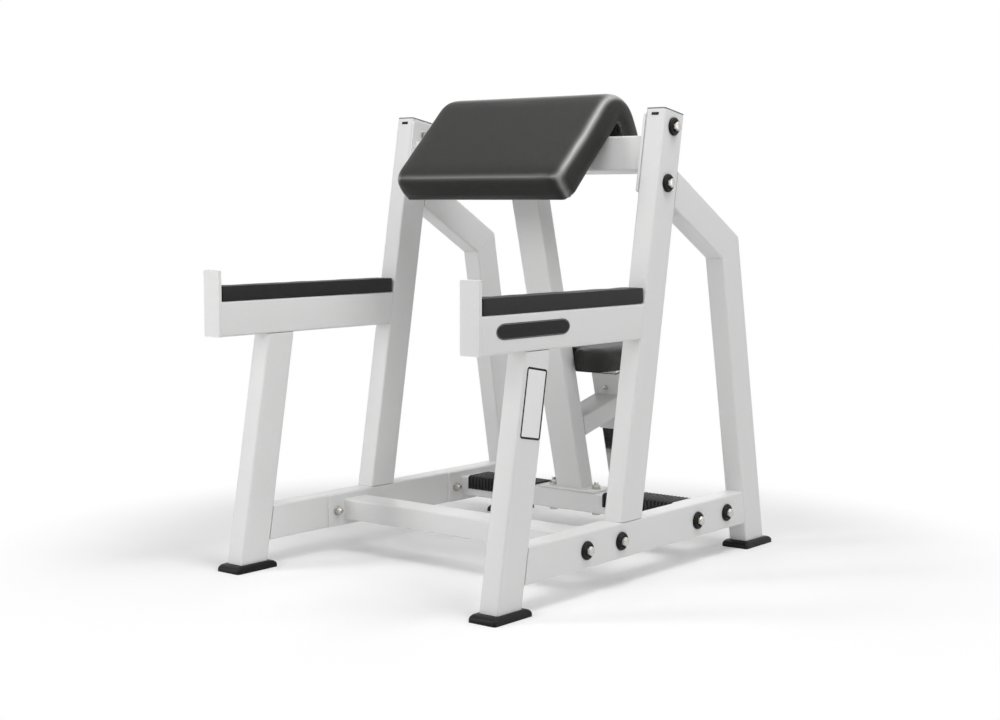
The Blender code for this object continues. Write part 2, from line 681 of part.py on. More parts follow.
def add_sleeve():
    """Seat sleeve with its two guide bushes and the screw that holds the upper one."""
    outlines = tube_outlines(POST_WIDTH, POST_DEPTH, TUBE_WALL, TUBE_RADIUS)
    sleeve = hollow_tube("seat_sleeve", SLIDE, outlines, square_cut(-SLEEVE_BELOW),
                         square_cut(SLEEVE_ABOVE), COAT)
    drill(sleeve, "sleeve_pin_bore", [(PIN_LINE, POST_WIDTH / 2 - OVERRUN, POST_WIDTH / 2 + OVERRUN)],
          PIN_RADIUS + GAP, PIN_SIDES)
    screw_room = SCREW_SHANK + GAP
    screw_hole = [(sleeve_front_frame(SCREW_RISE), -OVERRUN, OVERRUN)]
    drill(sleeve, "sleeve_screw_bore", screw_hole, screw_room)
    room = 2 * (TUBE_WALL + GAP)
    outside = rounded_outline(POST_WIDTH - room, POST_DEPTH - room, EASED)
    bore = rounded_outline(SEAT_TUBE_WIDTH + 2 * GAP, SEAT_TUBE_DEPTH + 2 * GAP, EASED / 2)
    runs = (("lower", -SLEEVE_BELOW, -SLEEVE_BELOW + BUSH_LOW_LENGTH),
            ("upper", SLEEVE_ABOVE - BUSH_HIGH_LENGTH, SLEEVE_ABOVE))
    for label, low, high in runs:
        bush = hollow_tube(f"guide_bush_{label}", SLIDE, (outside, bore), square_cut(low), square_cut(high),
                           PLASTIC)
        if label == "upper":
            drill(bush, "bush_screw_bore", screw_hole, screw_room)
    head = circle_outline(SCREW_HEAD)
    shank = circle_outline(SCREW_SHANK)
    crest = circle_outline(SCREW_CROWN)
    reach = (POST_DEPTH - SEAT_TUBE_DEPTH) / 2 - GAP
    loft("sleeve_screw", [(crest, -SCREW_HEAD_HEIGHT), (head, -SCREW_HEAD_HEIGHT / 2), (head, -GAP),
                          (shank, -GAP), (shank, reach)],
         sleeve_front_frame(SCREW_RISE), ZINC, smooth=True)


def add_pull_pin():
    """Barrel on the sleeve's left side, and the pin and knob that slide in it."""
    side = POST_WIDTH / 2
    barrel_end = side + GAP + BARREL_LENGTH
    barrel = loft("pin_barrel", [(circle_outline(BARREL_RADIUS, PIN_SIDES), side + GAP),
                                 (circle_outline(BARREL_RADIUS, PIN_SIDES), barrel_end)],
                  PIN_LINE, ZINC, smooth=True)
    drill(barrel, "barrel_bore", [(PIN_LINE, side - OVERRUN, barrel_end + OVERRUN)],
          PIN_RADIUS + GAP, PIN_SIDES)
    tip = SEAT_TUBE_WIDTH / 2 + GAP
    knob = barrel_end + GAP + PIN_TRAVEL_IN
    profile = ((PIN_RADIUS - EASED, tip), (PIN_RADIUS, tip + EASED), (PIN_RADIUS, knob),
               (KNOB_RADIUS * 0.6, knob), (KNOB_RADIUS * 0.75, knob + KNOB_LENGTH * 0.35),
               (KNOB_RADIUS, knob + KNOB_LENGTH * 0.55), (KNOB_RADIUS, knob + KNOB_LENGTH * 0.85),
               (KNOB_RADIUS * 0.75, knob + KNOB_LENGTH))
    slide = add_empty("pull_pin_slide", PIN_LINE)
    loft("pull_pin", [(circle_outline(radius, PIN_SIDES), height) for radius, height in profile],
         PIN_LINE, PLASTIC, slide, smooth=True)


def add_seat_tube(slide):
    """Chromed tube with its row of stop holes, and the plug in its lower end."""
    top_cut = plane_cut(SLEEVE_POINT, POST, Vector((0.0, SEAT_PLATE_UNDER - GAP)), UP)
    outlines = tube_outlines(SEAT_TUBE_WIDTH, SEAT_TUBE_DEPTH, SEAT_TUBE_WALL, SEAT_TUBE_RADIUS)
    tube = hollow_tube("seat_tube", SLIDE, outlines, square_cut(-SEAT_TUBE_BELOW), top_cut, CHROME, slide)
    wall = SEAT_TUBE_WIDTH / 2
    holes = []
    for step in range(SEAT_STEPS + 1):
        line = SLIDE @ level_frame(0.0, 0.0, -SEAT_STEP * step) @ along_x(0.0, 0.0)
        holes.append((line, wall - OVERRUN, wall + OVERRUN))
    drill(tube, "stop_bores", holes, PIN_RADIUS + GAP, PIN_SIDES)
    plate = rounded_outline(SEAT_TUBE_WIDTH, SEAT_TUBE_DEPTH, SEAT_TUBE_RADIUS)
    room = 2 * (SEAT_TUBE_WALL + GAP)
    skirt = rounded_outline(SEAT_TUBE_WIDTH - room, SEAT_TUBE_DEPTH - room, EASED)
    end = -SEAT_TUBE_BELOW - GAP
    layers = [(plate, end - PLUG_THICK), (plate, end), (skirt, end), (skirt, end + PLUG_SKIRT)]
    loft("seat_tube_plug", layers, SLIDE, PLASTIC, slide)


def add_seat_plate(slide):
    """Flat plate on the tube's top, screwed up into the seat board."""
    plate = rounded_outline(SEAT_PLATE_WIDTH, SEAT_PLATE_LENGTH, SEAT_PLATE_RADIUS)
    tube_rear = SLEEVE_POINT + SEAT_ARM * (SEAT_TUBE_DEPTH / 2)
    rear = meet(Vector((0.0, SEAT_PLATE_UNDER)), REAR, tube_rear, POST).x + SEAT_PLATE_MARGIN
    place = level_frame(0.0, rear - SEAT_PLATE_LENGTH / 2, SEAT_PLATE_UNDER)
    loft("seat_plate", [(plate, 0.0), (plate, SEAT_PLATE_THICK)], place, COAT, slide)


def arc(centre, radius, start, end, steps):
    """Points on an arc, with the outward normal at each, from one angle to another in degrees."""
    points = []
    for step in range(steps + 1):
        angle = math.radians(start + (end - start) * step / steps)
        normal = Vector((math.cos(angle), math.sin(angle)))
        points.append((centre + radius * normal, normal))
    return points


def seat_outline():
    """The seat in plan about its front middle, each point with its outward normal."""
    half = SEAT_WIDTH / 2
    notch = POST_WIDTH / 2 + SEAT_NOTCH_CLEAR
    deep = SEAT_NOTCH_DEPTH
    small = SEAT_NOTCH_RADIUS
    lobe = SEAT_LOBE_RADIUS
    rear_centre = Vector((half - SEAT_REAR_RADIUS, SEAT_LENGTH - SEAT_REAR_RADIUS))
    front_centre = Vector((half - SEAT_FRONT_RADIUS, SEAT_FRONT_RADIUS))
    right = arc(rear_centre, SEAT_REAR_RADIUS, 90, 0, 5)
    right += arc(front_centre, SEAT_FRONT_RADIUS, 0, -90, 4)
    right += arc(Vector((notch + lobe, lobe)), lobe, -90, -180, 2)
    inner = arc(Vector((notch - small, deep - small)), small, 0, 90, 2)
    right += [(point, -normal) for point, normal in inner]
    left = [(Vector((-p.x, p.y)), Vector((-n.x, n.y))) for p, n in reversed(right)]
    return right + left


def inset_loop(outline, inset, height):
    """A plan outline drawn in by a distance, at a height."""
    return [Vector((*(point - normal * inset), height)) for point, normal in outline]


def add_seat(slide):
    """Seat board and its cushion, with a crowned top and drawn-in sides."""
    outline = seat_outline()
    board_top = SEAT_BOARD_THICK
    place = level_frame(0.0, SEAT_FRONT, SEAT_BOTTOM)
    board = bmesh.new()
    loft_into(board, [inset_loop(outline, SEAT_BOARD_INSET, height) for height in (0.0, board_top)])
    add_object("seat_board", board, place, WOOD, slide)
    low = board_top + GAP
    thick = SEAT_CUSHION_THICK
    cushion = bmesh.new()
    rise = [(inset, low + thick * share) for inset, share in SEAT_CUSHION_RISE]
    loft_into(cushion, [inset_loop(outline, inset, height) for inset, height in rise])
    add_object("seat_cushion", cushion, place, HIDE, slide, smooth=True)


# Side-view lines of the arm pad: down the front slab and down the rear slab from the inner corner
FRONT_SLAB = Vector((-math.cos(math.radians(PAD_SLOPE)), -math.sin(math.radians(PAD_SLOPE))))
REAR_SLAB = Vector((math.cos(math.radians(PAD_REAR_SLOPE)), -math.sin(math.radians(PAD_REAR_SLOPE))))
FRONT_OUT = Vector((FRONT_SLAB.y, -FRONT_SLAB.x))
REAR_OUT = Vector((-REAR_SLAB.y, REAR_SLAB.x))
BEAM_TOP = BEAM_CENTRE + UPRIGHT * (TUBE_DEPTH / 2 - TUBE_RADIUS)
BEAM_CORNER = across(UPRIGHT) * (BEAM_WIDTH / 2 - TUBE_RADIUS)
PAD_APEX = meet(BEAM_TOP - BEAM_CORNER + FRONT_OUT * (TUBE_RADIUS + PAD_FRONT_SPACE), FRONT_SLAB,
                BEAM_TOP + BEAM_CORNER + REAR_OUT * (TUBE_RADIUS + PAD_REAR_SPACE), REAR_SLAB)


def round_corner(before, corner, after, radius, steps):
    """Points along a rounded corner of a side-view outline."""
    towards_before = (before - corner).normalized()
    towards_after = (after - corner).normalized()
    half = math.acos(max(-1.0, min(1.0, towards_before.dot(towards_after)))) / 2
    middle = (towards_before + towards_after).normalized()
    centre = corner + middle * (radius / math.sin(half))
    reach = radius / math.tan(half)
    first = (corner + towards_before * reach - centre).normalized()
    last = (corner + towards_after * reach - centre).normalized()
    swing = first.angle_signed(last)
    points = []
    for step in range(steps + 1):
        normal = first.copy()
        normal.rotate(Matrix.Rotation(-swing * step / steps, 2))
        points.append(centre + normal * radius)
    return points


def swell(start, end, normal, height, steps):
    """Points along a slab's face between two ends, raised towards its middle."""
    points = []
    for step in range(1, steps):
        share = step / steps
        points.append(start.lerp(end, share) + normal * height * math.sin(math.pi * share))
    return points


def pad_corners(inner, front_outer, rear_outer, front_length, rear_length):
    """The six corners of an inverted V between two offsets from the pad's underside."""
    apex = meet(PAD_APEX + FRONT_OUT * inner, FRONT_SLAB, PAD_APEX + REAR_OUT * inner, REAR_SLAB)
    peak = meet(PAD_APEX + FRONT_OUT * front_outer, FRONT_SLAB, PAD_APEX + REAR_OUT * rear_outer, REAR_SLAB)
    rear_end = PAD_APEX + REAR_SLAB * rear_length
    front_end = PAD_APEX + FRONT_SLAB * front_length
    return [apex, rear_end + REAR_OUT * inner, rear_end + REAR_OUT * rear_outer, peak,
            front_end + FRONT_OUT * front_outer, front_end + FRONT_OUT * inner]


def pad_outline(top_inset, under_inset, shortened):
    """The upholstered section, drawn in at its top, at its underside and at its two lower ends."""
    corners = pad_corners(under_inset, PAD_FRONT_THICK - top_inset, PAD_REAR_THICK - top_inset,
                          PAD_FRONT_LENGTH - shortened, PAD_REAR_LENGTH - shortened)
    apex, rear_inner, rear_outer, peak, front_outer, front_inner = corners
    rear_low = round_corner(rear_inner, rear_outer, peak, PAD_EDGE_RADIUS, 3)
    crown = round_corner(rear_outer, peak, front_outer, PAD_CROWN_RADIUS - top_inset, 8)
    front_low = round_corner(peak, front_outer, front_inner, PAD_EDGE_RADIUS, 3)
    points = [apex]
    points += round_corner(apex, rear_inner, rear_outer, PAD_UNDER_RADIUS, 2)
    points += rear_low
    points += swell(rear_low[-1], crown[0], REAR_OUT, PAD_SWELL / 2, 2)
    points += crown
    points += swell(crown[-1], front_low[0], FRONT_OUT, PAD_SWELL, 5)
    points += front_low
    points += round_corner(front_outer, front_inner, apex, PAD_UNDER_RADIUS, 2)
    points.append(front_inner.lerp(apex, 1 / 2))
    return points


def rounding(radius, distance):
    """How far a round edge has drawn in at a distance from the end."""
    short = max(radius - distance, 0.0)
    return radius - math.sqrt(radius * radius - short * short)


def pad_stations():
    """The pad's sections from its right end to its left end, as (x, outline)."""
    half = PAD_WIDTH / 2
    stations = []
    for distance in (*PAD_END_STEPS, PAD_EDGE_RADIUS, PAD_CORNER_RADIUS, half / 2):
        flat_share = (1 - distance / half) ** 2
        top = rounding(PAD_EDGE_RADIUS, distance) - PAD_SWELL * (1 - flat_share)
        under = rounding(PAD_UNDER_RADIUS, distance)
        outline = pad_outline(top, under, rounding(PAD_CORNER_RADIUS, distance))
        stations.append((distance - half, outline))
    middle = [(0.0, pad_outline(-PAD_SWELL, 0.0, 0.0))]
    return stations + middle + [(-x, outline) for x, outline in reversed(stations)]


def add_arm_pad():
    """Arm pad: inverted-V cushion, and the board that it is upholstered on."""
    place = along_x(0.0, 0.0)
    pad = loft("arm_pad", [(outline, x) for x, outline in pad_stations()], place, HIDE, smooth=True)
    board_half = PAD_WIDTH / 2 - PAD_BOARD_INSET
    front = PAD_FRONT_LENGTH - PAD_BOARD_INSET
    rear = PAD_REAR_LENGTH - PAD_BOARD_INSET
    corners = pad_corners(0.0, PAD_BOARD_THICK, PAD_BOARD_THICK, front, rear)
    loft("pad_board", [(corners, -board_half), (corners, board_half)], place, WOOD)
    grown = PAD_BOARD_THICK + GAP
    room = pad_corners(-PAD_BOARD_THICK, grown, grown, front + GAP, rear + GAP)
    wide = board_half + GAP
    combine(pad, loft("pad_recess", [(room, -wide), (room, wide)], place, HIDE), "DIFFERENCE")


def add_pad_angles():
    """Two folded strips that tie the board to the beam's front and rear faces."""
    rows = (("front", -1, FRONT_SLAB, FRONT_OUT, ANGLE_FRONT_LEGS),
            ("rear", 1, REAR_SLAB, REAR_OUT, ANGLE_REAR_LEGS))
    for label, sign, slab, out, (beam_leg, slab_leg) in rows:
        side = across(UPRIGHT) * sign
        beam_face = BEAM_CENTRE + side * (BEAM_WIDTH / 2 + GAP)
        slab_face = PAD_APEX - out * GAP
        corner = meet(beam_face, UPRIGHT, slab_face, slab)
        inner = meet(beam_face + side * ANGLE_THICK, UPRIGHT, slab_face - out * ANGLE_THICK, slab)
        beam_end = beam_face + UPRIGHT * ((inner - beam_face).dot(UPRIGHT) - beam_leg)
        slab_end = corner + slab * slab_leg
        outline = [corner, beam_end, beam_end + side * ANGLE_THICK, inner,
                   slab_end - out * ANGLE_THICK, slab_end]
        ends = [(outline, -ANGLE_LENGTH / 2), (outline, ANGLE_LENGTH / 2)]
        loft(f"pad_angle_{label}", ends, along_x(0.0, 0.0), COAT)


def add_bolt(name, matrix, grip, cup):
    """A hexagon bolt with its nut; local Z runs from the head's seat to the nut, a grip away."""
    hexagon = hexagon_outline(BOLT_FLATS)
    shank = circle_outline(BOLT_RADIUS)
    base = circle_outline(CUP_RADIUS if cup else WASHER_RADIUS)
    crest = circle_outline(CUP_TOP_RADIUS if cup else WASHER_RADIUS)
    height = CUP_HEIGHT if cup else WASHER_HEIGHT
    seat = -GAP - height
    nut = grip + GAP
    nut_end = nut + NUT_HEIGHT
    layers = [(hexagon, seat - BOLT_HEAD), (hexagon, seat), (crest, seat), (base, -GAP), (shank, -GAP),
              (shank, nut), (hexagon, nut), (hexagon, nut_end), (shank, nut_end), (shank, nut_end + BOLT_END)]
    loft(name, layers, matrix, ZINC)


def add_bolts():
    """Every bolt: through the rails and uprights, up through the rear cross member, and into the beam."""
    grip = TUBE_WIDTH + GAP + FLANGE_THICK
    for side, sign in (("left", 1), ("right", -1)):
        points = rail_bolt_points() + [beam_bolt_point(-1), beam_bolt_point(1)]
        for number, point in enumerate(points, 1):
            place = along_x(point.x, point.y, -sign)
            place.translation.x = sign * HALF
            add_bolt(f"frame_bolt_{side}_{number}", place, grip, True)
        foot = level_frame(sign * POST_BOLT_PITCH / 2, POST_Y, RAIL_MIDDLE - TUBE_WIDTH / 2)
        add_bolt(f"post_bolt_{side}", foot, TUBE_WIDTH + GAP + POST_PLATE_THICK, False)
        plate_under = BEAM_UNDER - UPRIGHT * (GAP + POST_PLATE_THICK)
        under = side_frame(plate_under, UPRIGHT, sign * POST_CAP_BOLT_PITCH / 2)
        add_bolt(f"beam_bolt_{side}", under, POST_PLATE_THICK + GAP + TUBE_WALL, False)


for SIDE, SIGN in (("left", 1), ("right", -1)):
    CENTRE_X = SIGN * SIDE_X
    add_legs(SIDE, CENTRE_X)
    add_rail(SIDE, CENTRE_X, SIGN)
    add_upright(SIDE, CENTRE_X, SIGN)
    add_rest_arm(SIDE, CENTRE_X)
    add_foot(f"front_foot_{SIDE}", CENTRE_X, FRONT_LEG_FOOT, FRONT_LEG)
    add_foot(f"rear_foot_{SIDE}", CENTRE_X, REAR_LEG_FOOT, REAR_LEG)
    add_foot_pad(SIDE, SIGN)

add_cross_member("front_cross_member", FRONT_CROSS_Y, False)
add_cross_member("rear_cross_member", REAR_CROSS_Y, True)
add_pad_beam()
add_centre_post()
add_seat_arm()
add_sleeve()
add_pull_pin()
SEAT_SLIDE = add_empty("seat_slide", SLIDE)
add_seat_tube(SEAT_SLIDE)
add_seat_plate(SEAT_SLIDE)
add_seat(SEAT_SLIDE)
add_arm_pad()
add_pad_angles()
add_bolts()
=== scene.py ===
# %% [markdown]
# A preacher-curl bench, dressed over its imported frame. The frame brings every tube, bolt and pad as a plain
# solid that already sits in its place. The cells below give each of them the
# surface of the real thing, and put a finer shape in place of the ones that a plain solid can't stand for:
# the padding, the ribbed rubbers and the bolts.

import json
import math

import bmesh
import bpy
from mathutils import Matrix, Vector, noise
from mathutils.bvhtree import BVHTree
from mathutils.kdtree import KDTree


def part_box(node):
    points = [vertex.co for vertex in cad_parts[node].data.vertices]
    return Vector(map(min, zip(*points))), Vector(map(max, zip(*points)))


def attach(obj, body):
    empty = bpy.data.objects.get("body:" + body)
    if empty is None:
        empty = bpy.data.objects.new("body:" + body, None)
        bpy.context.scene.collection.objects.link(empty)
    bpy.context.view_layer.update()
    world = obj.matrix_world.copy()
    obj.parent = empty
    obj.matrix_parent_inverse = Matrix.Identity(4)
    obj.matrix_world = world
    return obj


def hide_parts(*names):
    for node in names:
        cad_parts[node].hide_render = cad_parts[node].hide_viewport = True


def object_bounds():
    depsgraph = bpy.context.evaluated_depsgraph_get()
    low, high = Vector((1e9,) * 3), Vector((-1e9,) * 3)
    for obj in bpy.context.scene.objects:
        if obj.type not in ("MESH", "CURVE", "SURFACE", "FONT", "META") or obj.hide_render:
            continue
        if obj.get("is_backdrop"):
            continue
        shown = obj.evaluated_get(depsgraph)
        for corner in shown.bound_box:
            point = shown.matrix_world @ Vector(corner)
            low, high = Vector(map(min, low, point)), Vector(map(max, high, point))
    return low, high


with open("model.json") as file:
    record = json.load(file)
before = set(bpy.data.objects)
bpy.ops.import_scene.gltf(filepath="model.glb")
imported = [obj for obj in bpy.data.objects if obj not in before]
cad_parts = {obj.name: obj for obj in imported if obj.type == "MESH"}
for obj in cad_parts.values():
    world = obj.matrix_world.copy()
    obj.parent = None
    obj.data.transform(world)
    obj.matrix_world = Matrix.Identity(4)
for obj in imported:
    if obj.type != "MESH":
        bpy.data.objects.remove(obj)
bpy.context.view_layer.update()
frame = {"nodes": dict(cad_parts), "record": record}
nodes = frame["nodes"]

# %% [markdown]
# The camera stands in front of the bench, to the seated user's left, a little below the arm pad. Its place
# was worked out from the straight edges of the frame tubes, so the frame lines fall where they do in the
# photograph. A camera looks along its own -Z, so it is first tipped up from looking down, and then turned
# about the upright axis.

# %% Camera
CAMERA_PLACE = Vector((2.4653, -3.0824, 0.8421))
CAMERA_TURN = 38.728
CAMERA_TIP = 84.6645
CAMERA_ROLL = 0.1086
CAMERA_LENS = 60.27

camera_data = bpy.data.cameras.new("camera")
camera_data.lens = CAMERA_LENS
camera = bpy.data.objects.new("camera", camera_data)
camera.matrix_world = (Matrix.Translation(CAMERA_PLACE)
                       @ Matrix.Rotation(math.radians(CAMERA_TURN), 4, "Z")
                       @ Matrix.Rotation(math.radians(CAMERA_TIP), 4, "X")
                       @ Matrix.Rotation(math.radians(CAMERA_ROLL), 4, "Z"))
bpy.context.scene.collection.objects.link(camera)
bpy.context.scene.camera = camera
bpy.context.scene.view_settings.view_transform = "Standard"
print("camera", [round(value, 3) for value in camera.location], "lens", camera_data.lens)

# %% [markdown]
# Shader maths reads best as plain sums. This small class wraps one socket of a shader and gives it the
# usual operators, so that a mottled roughness is written as `0.4 + 0.1 * mottle` in place of two nodes and
# three links.

# %% Shader sockets that add and multiply
def feed(tree, socket, value):
    """Link a signal into a socket, or write a plain value on it."""
    if isinstance(value, Signal):
        tree.links.new(value.socket, socket)
    else:
        socket.default_value = value


class Signal:
    """One output of a shader node, with the operators of a number."""

    def __init__(self, tree, socket):
        self.tree = tree
        self.socket = socket

    def math(self, operation, *values):
        """A Math node of that operation, fed in order."""
        node = self.tree.nodes.new("ShaderNodeMath")
        node.operation = operation
        for socket, value in zip(node.inputs, values):
            feed(self.tree, socket, value)
        return Signal(self.tree, node.outputs[0])

    def __add__(self, other):
        return self.math("ADD", self, other)

    def __radd__(self, other):
        return self.math("ADD", other, self)

    def __sub__(self, other):
        return self.math("SUBTRACT", self, other)

    def __rsub__(self, other):
        return self.math("SUBTRACT", other, self)

    def __mul__(self, other):
        return self.math("MULTIPLY", self, other)

    def __rmul__(self, other):
        return self.math("MULTIPLY", other, self)

    def between(self, low, high):
        """0 at low and 1 at high, eased at both ends."""
        node = self.tree.nodes.new("ShaderNodeMapRange")
        node.interpolation_type = "SMOOTHSTEP"
        for name, value in (("Value", self), ("From Min", low), ("From Max", high)):
            feed(self.tree, node.inputs[name], value)
        return Signal(self.tree, node.outputs["Result"])


# %% [markdown]
# Every finish starts from the same place: a Principled shader and the object's own coordinates, which are
# metres here, so a grain of one millimetre is written as one. Patterns laid in object coordinates stay on a
# piece when the seat slides, and need no unwrapping.

# %% A finish and its nodes
class Finish:
    """A material in the making, with its main shader and its nodes."""

    def __init__(self, name, **plain):
        self.material = bpy.data.materials.new(name)
        self.material.use_nodes = True
        self.tree = self.material.node_tree
        self.shader = self.tree.nodes["Principled BSDF"]
        self.place = self.node("ShaderNodeTexCoord", output="Object")
        for socket, value in plain.items():
            self.set(socket, value)

    def node(self, kind, settings=None, output=0, **values):
        """Any node: its settings first, then its sockets. An underscore in a name stands for a space."""
        node = self.tree.nodes.new(kind)
        for setting, value in (settings or {}).items():
            setattr(node, setting, value)
        for socket, value in values.items():
            feed(self.tree, node.inputs[socket.replace("_", " ")], value)
        return Signal(self.tree, node.outputs[output])

    def set(self, socket, value):
        """A value or a signal on the main shader."""
        feed(self.tree, self.shader.inputs[socket.replace("_", " ")], value)

    def clouds(self, size, detail=2.0, stretch=None):
        """Soft noise from 0 to 1 whose patches are about size metres across."""
        place = self.place
        if stretch:
            place = self.node("ShaderNodeMapping", Vector=place, Scale=stretch)
        return self.node("ShaderNodeTexNoise", Vector=place, Scale=1 / size, Detail=detail)

    def blend(self, factor, low, high):
        """A colour between two colours, of which the first may be a signal."""
        node = self.tree.nodes.new("ShaderNodeMix")
        node.data_type = "RGBA"
        colours = [socket for socket in node.inputs if socket.type == "RGBA"]
        feed(self.tree, node.inputs["Factor"], factor)
        feed(self.tree, colours[0], (*low, 1.0) if isinstance(low, tuple) else low)
        feed(self.tree, colours[1], (*high, 1.0))
        return Signal(self.tree, next(socket for socket in node.outputs if socket.type == "RGBA"))

    def relief(self, height, depth):
        """Bump the surface by height, where 1 is depth metres proud."""
        self.set("Normal", self.node("ShaderNodeBump", Height=height, Distance=depth, Strength=1.0))


# %% [markdown]
# The frame's powder coat is sprayed dry and melted on in an oven. It comes out a shade off white, half
# glossy and very slightly dimpled, like the skin of an orange, with dimples a few millimetres apart. The
# dimples are a bump, and a slow cloud of noise varies the tone and the gloss a little, as the film's
# thickness does.

# %% White powder coat
coat = Finish("white_powder_coat", Metallic=0.0, IOR=1.48)
film = coat.clouds(0.18, 3.0)
peel = coat.clouds(0.0032, 1.0)
tone = 0.4 * film + 0.6 * peel.between(0.3, 0.7)
coat.set("Base_Color", coat.blend(tone, (0.785, 0.785, 0.782), (0.812, 0.812, 0.808)))
coat.set("Roughness", 0.36 + 0.1 * coat.clouds(0.05))
coat.relief(0.75 * peel + 0.25 * coat.clouds(0.0012, 1.0), 0.00026)
print("powder coat nodes:", len(coat.tree.nodes))

# %% [markdown]
# The pad and the seat are covered in a coated cloth with a fine leather grain. The grain is cells a
# millimetre across with creases between them, which a Voronoi pattern gives, broken up by finer noise.
# Where the cloth is pulled over an edge it turns glossier, and a painted highlight makes its colour paler
# there. The arm pad's cover carries that as a value on its points, named stretch, which raises the clear coat
# and paints the highlight.

# %% Charcoal upholstery
hide = Finish("charcoal_upholstery", Metallic=0.0, Specular_IOR_Level=0.26, Coat_Roughness=0.33, Coat_IOR=1.5)
wander = hide.clouds(0.004, 2.0)
cells = hide.node("ShaderNodeTexVoronoi", {"feature": "DISTANCE_TO_EDGE"}, output="Distance",
                  Vector=hide.place, Scale=1 / 0.0012, Randomness=0.9)
creases = cells.between(0.0, 0.35)
stretch = hide.node("ShaderNodeAttribute", {"attribute_name": "stretch"}, output="Fac")
weave = hide.clouds(0.0035, 3.0).between(0.3, 0.7)
grain_tone = hide.blend(0.5 * weave + 0.5 * creases, (0.0075, 0.0071, 0.0066), (0.018, 0.0172, 0.0162))
# Painted highlight: the colour is lightened to a pale grey where the cover turns over an edge.
hide.set("Base_Color", hide.blend(0.8 * stretch * stretch, grain_tone, (0.300, 0.297, 0.290)))
hide.set("Roughness", 0.50 - 0.06 * creases + 0.06 * wander - 0.10 * stretch)
hide.set("Coat_Weight", stretch)
hide.relief((0.4 * creases + 0.6 * weave) * (1.0 - 0.5 * stretch), 0.0003)
print("upholstery nodes:", len(hide.tree.nodes))

# %% [markdown]
# The rubbers are matt with a fine tooth from the mould. The washers, feet and plugs are black plastic,
# smoother, with the fine spark-eroded texture of moulded parts. The upright caps are the same in grey.

# %% Rubber and moulded plastics
rubber = Finish("black_rubber", Metallic=0.0, Specular_IOR_Level=0.22)
tooth = rubber.clouds(0.0011, 3.0)
rubber.set("Base_Color", rubber.blend(rubber.clouds(0.03), (0.011, 0.011, 0.0112), (0.017, 0.017, 0.0173)))
rubber.set("Roughness", 0.50 + 0.12 * tooth)
rubber.relief(tooth, 0.0001)


def moulded(name, dark, light, gloss):
    """Moulded plastic with a fine eroded texture."""
    finish = Finish(name, Metallic=0.0, Specular_IOR_Level=0.16)
    grain = finish.clouds(0.0007, 2.0)
    finish.set("Base_Color", finish.blend(finish.clouds(0.02), dark, light))
    finish.set("Roughness", gloss + 0.1 * grain)
    finish.relief(grain, 0.00005)
    return finish


plastic = moulded("black_plastic", (0.004, 0.004, 0.0041), (0.007, 0.007, 0.0072), 0.30)
cap_plastic = moulded("grey_plastic", (0.17, 0.17, 0.17), (0.21, 0.21, 0.21), 0.5)
print("moulded:", [finish.material.name for finish in (rubber, plastic, cap_plastic)])

# %% [markdown]
# The bolts are zinc plated, a warm pale grey metal with a soft cloudy gloss. The seat tube is chromed: a
# clear mirror with faint smears. The boards under the padding are black-stained plywood, whose plies show
# as lines along the edge.

# %% Metals and board
zinc = Finish("zinc_plate", Metallic=1.0)
bloom = zinc.clouds(0.003, 3.0)
zinc.set("Base_Color", zinc.blend(bloom, (0.44, 0.425, 0.40), (0.66, 0.64, 0.61)))
zinc.set("Roughness", 0.22 + 0.16 * bloom)
zinc.relief(zinc.clouds(0.0006), 0.00003)

chrome = Finish("chrome_plate", Metallic=1.0)
smear = chrome.clouds(0.02, 4.0, (1.0, 1.0, 0.2))
chrome.set("Base_Color", chrome.blend(smear, (0.60, 0.59, 0.58), (0.66, 0.65, 0.64)))
chrome.set("Roughness", 0.07 + 0.09 * smear)

board = Finish("black_board", Metallic=0.0)
plies = board.node("ShaderNodeTexWave", {"bands_direction": "Z"}, output="Fac", Vector=board.place,
                   Scale=95.0, Distortion=1.2, Detail=2.0)
fibre = board.clouds(0.004, 4.0, (1.0, 0.12, 1.0))
board.set("Base_Color", board.blend(0.6 * plies + 0.4 * fibre, (0.012, 0.011, 0.010), (0.035, 0.031, 0.028)))
board.set("Roughness", 0.6 + 0.2 * fibre)
board.relief(0.5 * plies + 0.5 * fibre, 0.0002)
FINISHES = {"white_coat": coat, "upholstery": hide, "rubber": rubber, "black_plastic": plastic,
            "grey_plastic": cap_plastic, "zinc": zinc, "chrome": chrome, "board": board}
print("finishes:", sorted(FINISHES))

# %% [markdown]
# The frame's own solids have their real shape already, so they stay, and take the finish of the slot that
# the record gives them. Their meshes come with every corner split. A short chain of geometry nodes joins
# the corners again and marks only the sharp edges as sharp, a bevel of half a millimetre breaks those edges
# so they catch the light as deburred steel does, and weighted normals keep the long walls flat beside their
# rounded corners.

# %% Soften the frame's edges
SHARP_ANGLE = math.radians(50)
EDGE_BREAK = 0.0005
CORNER_JOIN = 0.00001


